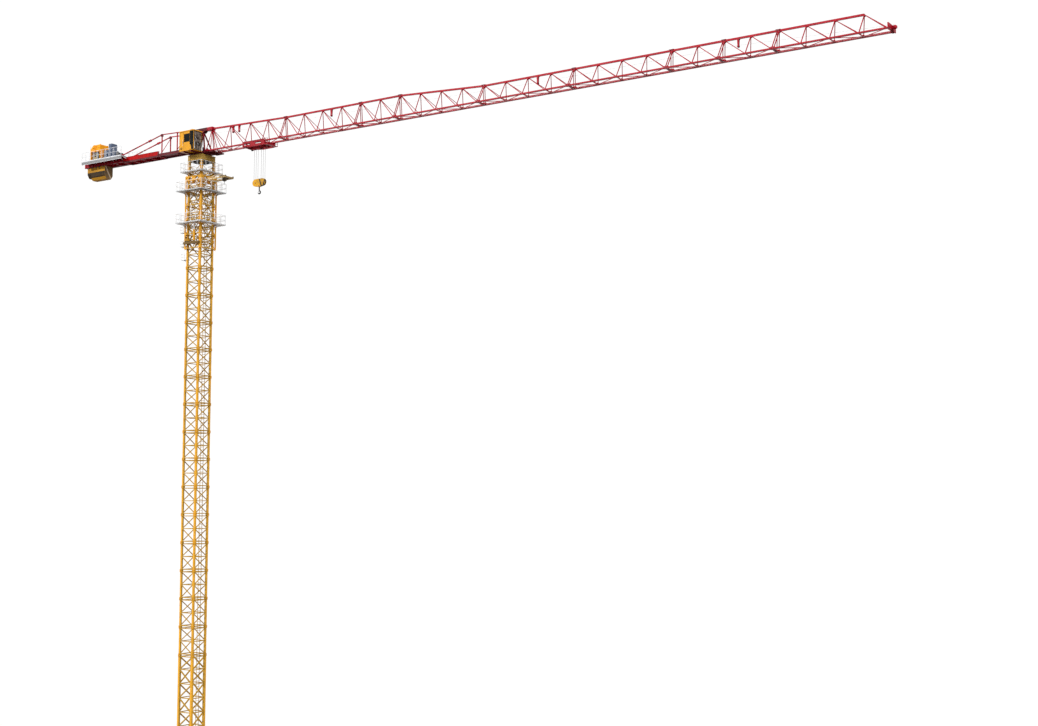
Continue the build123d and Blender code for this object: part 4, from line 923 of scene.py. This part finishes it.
def winch_details():
    hood, doors, grey, dark, drum = builds(5)
    for s in (-1, 1):
        y = s * 62
        for x in (-1745, -1692, -1638, -1586):
            hood.cube((x, y + s * 0.8, 6664), (3, 1.6, 68))
        for z in range(6640, 6689, 7):
            out = y + s * 2.4
            hood.plate([(-1684, y, z), (-1646, y, z), (-1646, out, z + 3), (-1684, out, z + 3)], (0, 0, 1.6))
        for x in (-1602, -1700):
            dark.cube((x, y + s * 1.5, 6664), (3, 3, 12))
        grey.box((-1460, -1414), (s * 42, s * 43.2), (6621, 6689))
        dark.box((-1438, -1436), (s * 43, s * 44.4), (6645, 6661))
        for z in range(6532, 6603, 10):
            grey.box((-1514, -1413), (y, s * 64), (z, z + 3))
        grey.turned((-1464, y, 6572), (0, s, 0), [(0, 26), (4, 26), (4, 18), (10, 18), (10, 8), (13, 8)])
        for k in range(18):
            x = -1406 + 4.6 * k
            grey.turned((x, s * 31, 6553), X, [(0, 29.2), (0.2, 30.8), (1.6, 30.8), (1.8, 29.2)], 28)
        dark.turned((-1322, s * 31, 6553), X, [(0, 27), (10, 27), (13, 22), (13, 6), (16, 5)], 28)
        dark.cube((-1364, s * 31, 6585), (30, 22, 8))
        doors.box((-1790, -1310), (y, s * 64), (6521, 6524))
        for x in range(-1788, -1323, 58):
            doors.box((x, x + 3), (y, s * 64.5), (6496, 6524))
        dark.turned((-1665, y, 6575), (0, s, 0), [(0, 16), (4, 16), (4, 11), (8, 9)], 20)
    for y in (-50, -25, 0, 25, 50):
        hood.box((-1583, -1581), (y - 1.2, y + 1.2), (6528, 6696))
    hood.box((-1706, -1584), (-60, 60), (6700, 6702))
    for x in (-1696, -1591):
        for s in (-1, 1):
            hood.turned((x, s * 54, 6703.5), Y, [(-5, 3), (5, 3)], 12)
    dark.cube((-1437, 0, 6694), (30, 50, 4))
    drum.turned((-1665, 0, 6575), Y, drum_profile(47.7, 38, 46, 2.9), 40)
    hood.done("hood_panels", "cab_yellow", "hood_yellow")
    doors.done("winch_trim", "frame_cream")
    grey.done("motor_fins", "machine_grey", smooth=True)
    dark.done("winch_fittings", "guide_black", smooth=True)
    piece = drum.done("winch_drum_wound", "bearing_steel", "wire_rope", smooth=True)
    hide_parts("winch_drum")


def ballast_details():
    rods, stripe = builds(2)
    for s in (-1, 1):
        for z in (6352, 6404):
            rods.run((-1792, -1495), s * 40, z, 2.4)
            for x, way in ((-1792, -1), (-1495, 1)):
                rods.bolt((x, s * 40, z), (way, 0, 0), 4.2, 4)
        for k in range(5):
            x = -1760.7 + 58.66 * k
            rods.bolt((x, s * 60, 6412), (0, s, 0), 3.6, 3.4)
            rods.box((x - 5, x + 5), (s * 58, s * 71), (6428, 6440))
    outline = [(-1497, -60, 6432), (-1497, -44, 6440), (-1497, 40, 6300), (-1497, 26, 6289)]
    stripe.plate(outline, (1.0, 0, 0))
    rods.done("ballast_rods", "bearing_steel")
    stripe.done("ballast_stripe", "ballast_paint", "stripe_pale")


# Trolley, ropes and hook
CENTRE = 867.0
LOBES = (-51, 51)
UPPER, LOWER = 6352, 5960  # heights of the trolley's and the block's sheaves


def groove(half, radius, depth):
    """Rope groove between two lips with a hub on each side."""
    hub, lip = radius * 0.28, 1.2
    return mirrored([(-half - 1.2, hub * 0.5), (-half - 1.2, hub), (-half, hub), (-half, radius * 0.55),
                     (-half + 1.4, radius * 0.6), (-half + 1.4, radius * 0.86), (-half, radius * 0.9),
                     (-half, radius), (-half + lip, radius), (-0.9, radius - depth)])


def trolley_details():
    sheaves, wheels, ribs, basket, dark = builds(5, "trolley")
    for x in (CENTRE - 102, CENTRE, CENTRE + 102):
        sheaves.turned((x, 0, UPPER), Y, groove(3.4, 21.5, 2.2), 36)
        dark.run(x, (-10, 10), UPPER, 3.6, 14)
        for s in (-1, 1):
            dark.bolt((x, s * 8, UPPER), (0, s, 0), 4.4, 3)
    level, end = 6399.6, 1045.5  # the wheels' axles, the basket's end rail
    for share in (0.92, 0.5, 0.1):
        x = 693 + share * 314
        for s in (-1, 1):
            profile = [*mirrored([(-3, 5), (-3, 9.2), (-2.2, 10)]), (9, 4.4), (13.2, 3)]
            wheels.turned((x, s * 70.8, level), (0, s, 0), profile)
            dark.bolt((x, s * 88, level), (0, s, 0), 3.4, 3)
            ribs.turned((x, s * 88, level), (0, s, 0), [(0, 7.5), (1.4, 7.5)], 20)
    for s in (-1, 1):
        y = s * 88
        ribs.box((693, 1007), (y, y + s * 2.2), (6404.6, 6407.6))
        for x in (711, 811, 875, 963):
            ribs.box((x - 1.5, x + 1.5), (y, y + s * 2), (6350 if x > 800 else 6358, 6404))
        ribs.bar((831, y + s, 6345), (985, y + s, 6345), 2.4, 4)
        outline = ((700, 60, 6366), (760, 84, 6366), (760, 84, 6362), (700, 60, 6362))
        ribs.plate([(x, s * y, z) for x, y, z in outline], (4, 0, 0))
        for x in (745, 990):
            dark.turned((x, s * 20, 6345), Y, [(-5, 6), (5, 6)], 16)
        for a, b in ((726, 850), (999, 880)):
            ribs.bar((a, s * 84, 6358), (b, s * 10, 6358), 4, 5)
        for z in (6374, 6411):
            basket.run((1009, 1047), s * 82, z, 1.4)
        basket.run(end, s * 82, (6346, 6411), 1.6)
    basket.run(end, (-82, 82), 6373.5, 1.4)
    for y in (-55, -28, 0, 28, 55):
        basket.run(end, y, (6346, 6373.5), 1.0, 6)
    basket.grating((1012, 1046), (-82, 82), 6348.0, 7.0, 1.8, 0)
    ribs.box((693, 696), (-84, 84), (6366, 6378))
    dark.cube((757, 0, 6326), (20, 12, 12))
    dark.cube((888, 0, 6328), (22, 12, 10))
    for x in (780, 930):
        ribs.cube((x, 0, 6368), (30, 40, 4))
    piece = sheaves.done("trolley_sheaves_grooved", "bearing_steel", smooth=True)
    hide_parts("trolley_sheaves")
    piece = wheels.done("trolley_wheels_turned", "bearing_steel", smooth=True)
    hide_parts("trolley_wheels")
    ribs.done("trolley_stiffeners", "jib_red", "trolley_red")
    basket.done("basket_rails", "jib_red")
    dark.done("trolley_fittings", "guide_black", smooth=True)


def rope_falls():
    """Round falls from the trolley to the hook block, with points at their ends only."""
    rope = Build(None)
    for lobe in LOBES:
        for side in (-28, 28):
            rope.run(CENTRE + lobe + side, 0, (LOWER, UPPER), 1.5, 12)
        rope.run(CENTRE + lobe, 0, (5999, 6351), 1.5, 12)
    piece = rope.done("hoist_falls", "wire_rope", smooth=True)
    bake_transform(piece)
    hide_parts("hoist_ropes")


def hook_block_details():
    sheaves, trim, bolts = builds(3, "hook_block")
    for lobe in LOBES:
        x = CENTRE + lobe
        sheaves.turned((x, 0, LOWER), Y, groove(6.0, 26.5, 3.0), 36)
        for s in (-1, 1):
            trim.turned((x, s * 11, LOWER), (0, s, 0), [(0, 11), (1.6, 11), (2.4, 9.5)], 28)
            bolts.bolt((x, s * 13.2, LOWER), (0, s, 0), 5.5, 3.2)
            for k in range(5):
                a = radians(20 + 35 * k) if lobe > 0 else radians(160 - 35 * k)
                bolts.bolt((x + 35 * cos(a), s * 11, LOWER + 35 * sin(a)), (0, s, 0), 2.2, 2.0)
    for s in (-1, 1):
        trim.cube((CENTRE, s * 12, 5927), (24, 2.4, 22))
        bolts.bolt((CENTRE, s * 13, 5926), (0, s, 0), 5, 3)
        bolts.bolt((CENTRE, s * 11, 5956), (0, s, 0), 3, 2.4)
    trim.turned((CENTRE, 0, 5914), Z, [(-3, 9), (0, 10)])
    piece = sheaves.done("block_sheaves_grooved", "bearing_steel", smooth=True)
    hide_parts("block_sheaves")
    trim.done("block_trim", "block_yellow", "block_plain", smooth=True)
    bolts.done("block_bolts", "bearing_steel")


def swept_hook():
    """Forged single hook: shank, neck, bowl that swells at the back, tapering point, latch."""
    build = Build("hook")
    top, low = 5938.6, 5869.0
    centre = Vector((CENTRE, 0, low - 15.5))
    stations = [(Vector((CENTRE, 0, z)), wide, 6.2, Vector((lean, 0, -1)))
                for z, wide, lean in ((top, 6.2, 0), (low + 6, 6.2, 0), (low + 1, 6.6, 0.1))]
    count = 26
    for k in range(1, count + 1):
        t = k / count
        a = radians(90 - 288 * t)
        grow = sin(pi * min(1.0, t * 1.15)) ** 0.7 if t < 0.87 else 0.0
        half = 4.8 + 3.0 * grow * (1 if t < 0.8 else (1 - t) * 5)
        radius = 15.5 + 1.2 * t
        place = centre + Vector((cos(a), 0, sin(a))) * radius
        way = Vector((sin(a), 0, -cos(a)))
        thin = max(1.2, half * (1.0 - max(0.0, t - 0.78) * 3.2))
        stations.append((place, thin, max(1.2, thin * 0.86), way))
    angles = [2 * pi * i / 16 for i in range(16)]
    build.loft([[place + Vector(Y).cross(way.normalized()) * wide * cos(b) + Vector(Y) * deep * sin(b)
                 for b in angles] for place, wide, deep, way in stations])
    build.turned((CENTRE, 0, top), Z, [(0, 6.6), (8.6, 6.6), (9.2, 5.4)], 6)
    latch = ((-1, -2), (-15, -8), (-14, -9.6), (0.5, -4.4))
    build.upright([(CENTRE + dx, low + dz) for dx, dz in latch], -2, 4)
    piece = build.done("hook_forged", "hook_steel", smooth=True)
    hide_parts("hook")


mast_joints()
mast_gussets()
foundation()
support_details()
cage_details()
walkway_details("upper_walkway", 6168.0, 165.0, 104.75, 42)
walkway_details("middle_walkway", 5953.0, 194.0, 122.0, 54)
walkway_details("lower_walkway", 5594.0, 194.0, 122.0, 54)
landing_details()
jacking_details()
introduction_details()
jib_details()
guide_brackets()
jib_ropes()
head_details()
platform_details()
cab_details()
counter_jib_details()
tie_details()
winch_details()
ballast_details()
trolley_details()
rope_falls()
hook_block_details()
swept_hook()


# Camera, floor and light
def camera():
    """The photograph's view, from a camera fitted to the joints of mast and jib."""
    place = Vector((11.56387, -11.50079, 2.52602))
    yaw, pitch, roll = 0.5705, 0.0952, -0.0021
    focal_pixels, photo_width, sensor = 1458.99, 1038, 36
    forward = Vector((-sin(yaw) * cos(pitch), cos(yaw) * cos(pitch), sin(pitch)))
    right = Vector((cos(yaw), sin(yaw), 0))
    up = right.cross(forward)
    level = cos(roll) * right + sin(roll) * up
    upright = -sin(roll) * right + cos(roll) * up
    lens = bpy.data.cameras.new("camera")
    lens.sensor_width = sensor
    lens.lens = focal_pixels * sensor / photo_width
    lens.clip_end = 400
    holder = put("camera", lens)
    columns = (level, upright, -forward, place)
    holder.matrix_world = Matrix([[column[i] for column in columns] for i in range(3)] + [[0, 0, 0, 1]])
    bpy.context.scene.camera = holder


SKY_STRENGTH = 1.04


def floor():
    bm = bmesh.new()
    bmesh.ops.create_circle(bm, cap_ends=True, radius=420, segments=128)
    mesh = bpy.data.meshes.new("floor")
    bm.to_mesh(mesh)
    bm.free()
    plane = put("floor", mesh)
    plane.location = (3, 0, -0.001)
    t = Tree("floor_pale")
    cloud = t.noise(0.4, 4.0)
    colour = t.ramp(cloud, [(0.3, (0.86, 0.86, 0.865)), (0.7, (0.9, 0.9, 0.9))])
    t.finish(colour, t.span(cloud, 0.7, 0.85))
    mesh.materials.append(t.owner)
    # The camera sees the floor as white as the sky, so that ropes still show in front of it.
    blend = t.node("MixShader", Fac=t.node("LightPath").outputs["Is Camera Ray"])
    t.feed(blend.inputs[1], t.shader.outputs[0])
    t.feed(blend.inputs[2], t.node("Emission", Strength=SKY_STRENGTH).outputs[0])
    t.feed(t.nodes["Material Output"].inputs["Surface"], blend.outputs[0])
    plane.visible_diffuse = False


def sun(name, energy, place, target, angle):
    data = bpy.data.lights.new(name, "SUN")
    data.energy = energy
    data.angle = angle
    way = Vector(target) - Vector(place)
    turn = way.to_track_quat("-Z", "Y").to_matrix().to_4x4()
    put(name, data).matrix_world = Matrix.Translation(place) @ turn


def studio():
    """Plain bright surround above the horizon, dark below it, a narrow key sun and a broad fill."""
    t = Tree("studio", "worlds")
    height = t.node("SeparateXYZ", Vector=t.places["Generated"]).outputs[2]
    horizon = [(0.03, (0.14, 0.13, 0.12)), (0.06, (1.0, 1.0, 1.0))]
    back = t.nodes["Background"]
    t.feed(back.inputs[0], t.ramp(t.math("ADD", height, 0.1), horizon))
    back.inputs[1].default_value = SKY_STRENGTH
    bpy.context.scene.world = t.owner
    bpy.context.scene.view_settings.view_transform = "Standard"
    aim = (2, 0, 5)
    sun("key", 2.6, (-7, -13, 13), aim, 0.05)
    sun("fill", 0.9, (16, -5, 12), aim, 0.5)


camera()
floor()
studio()
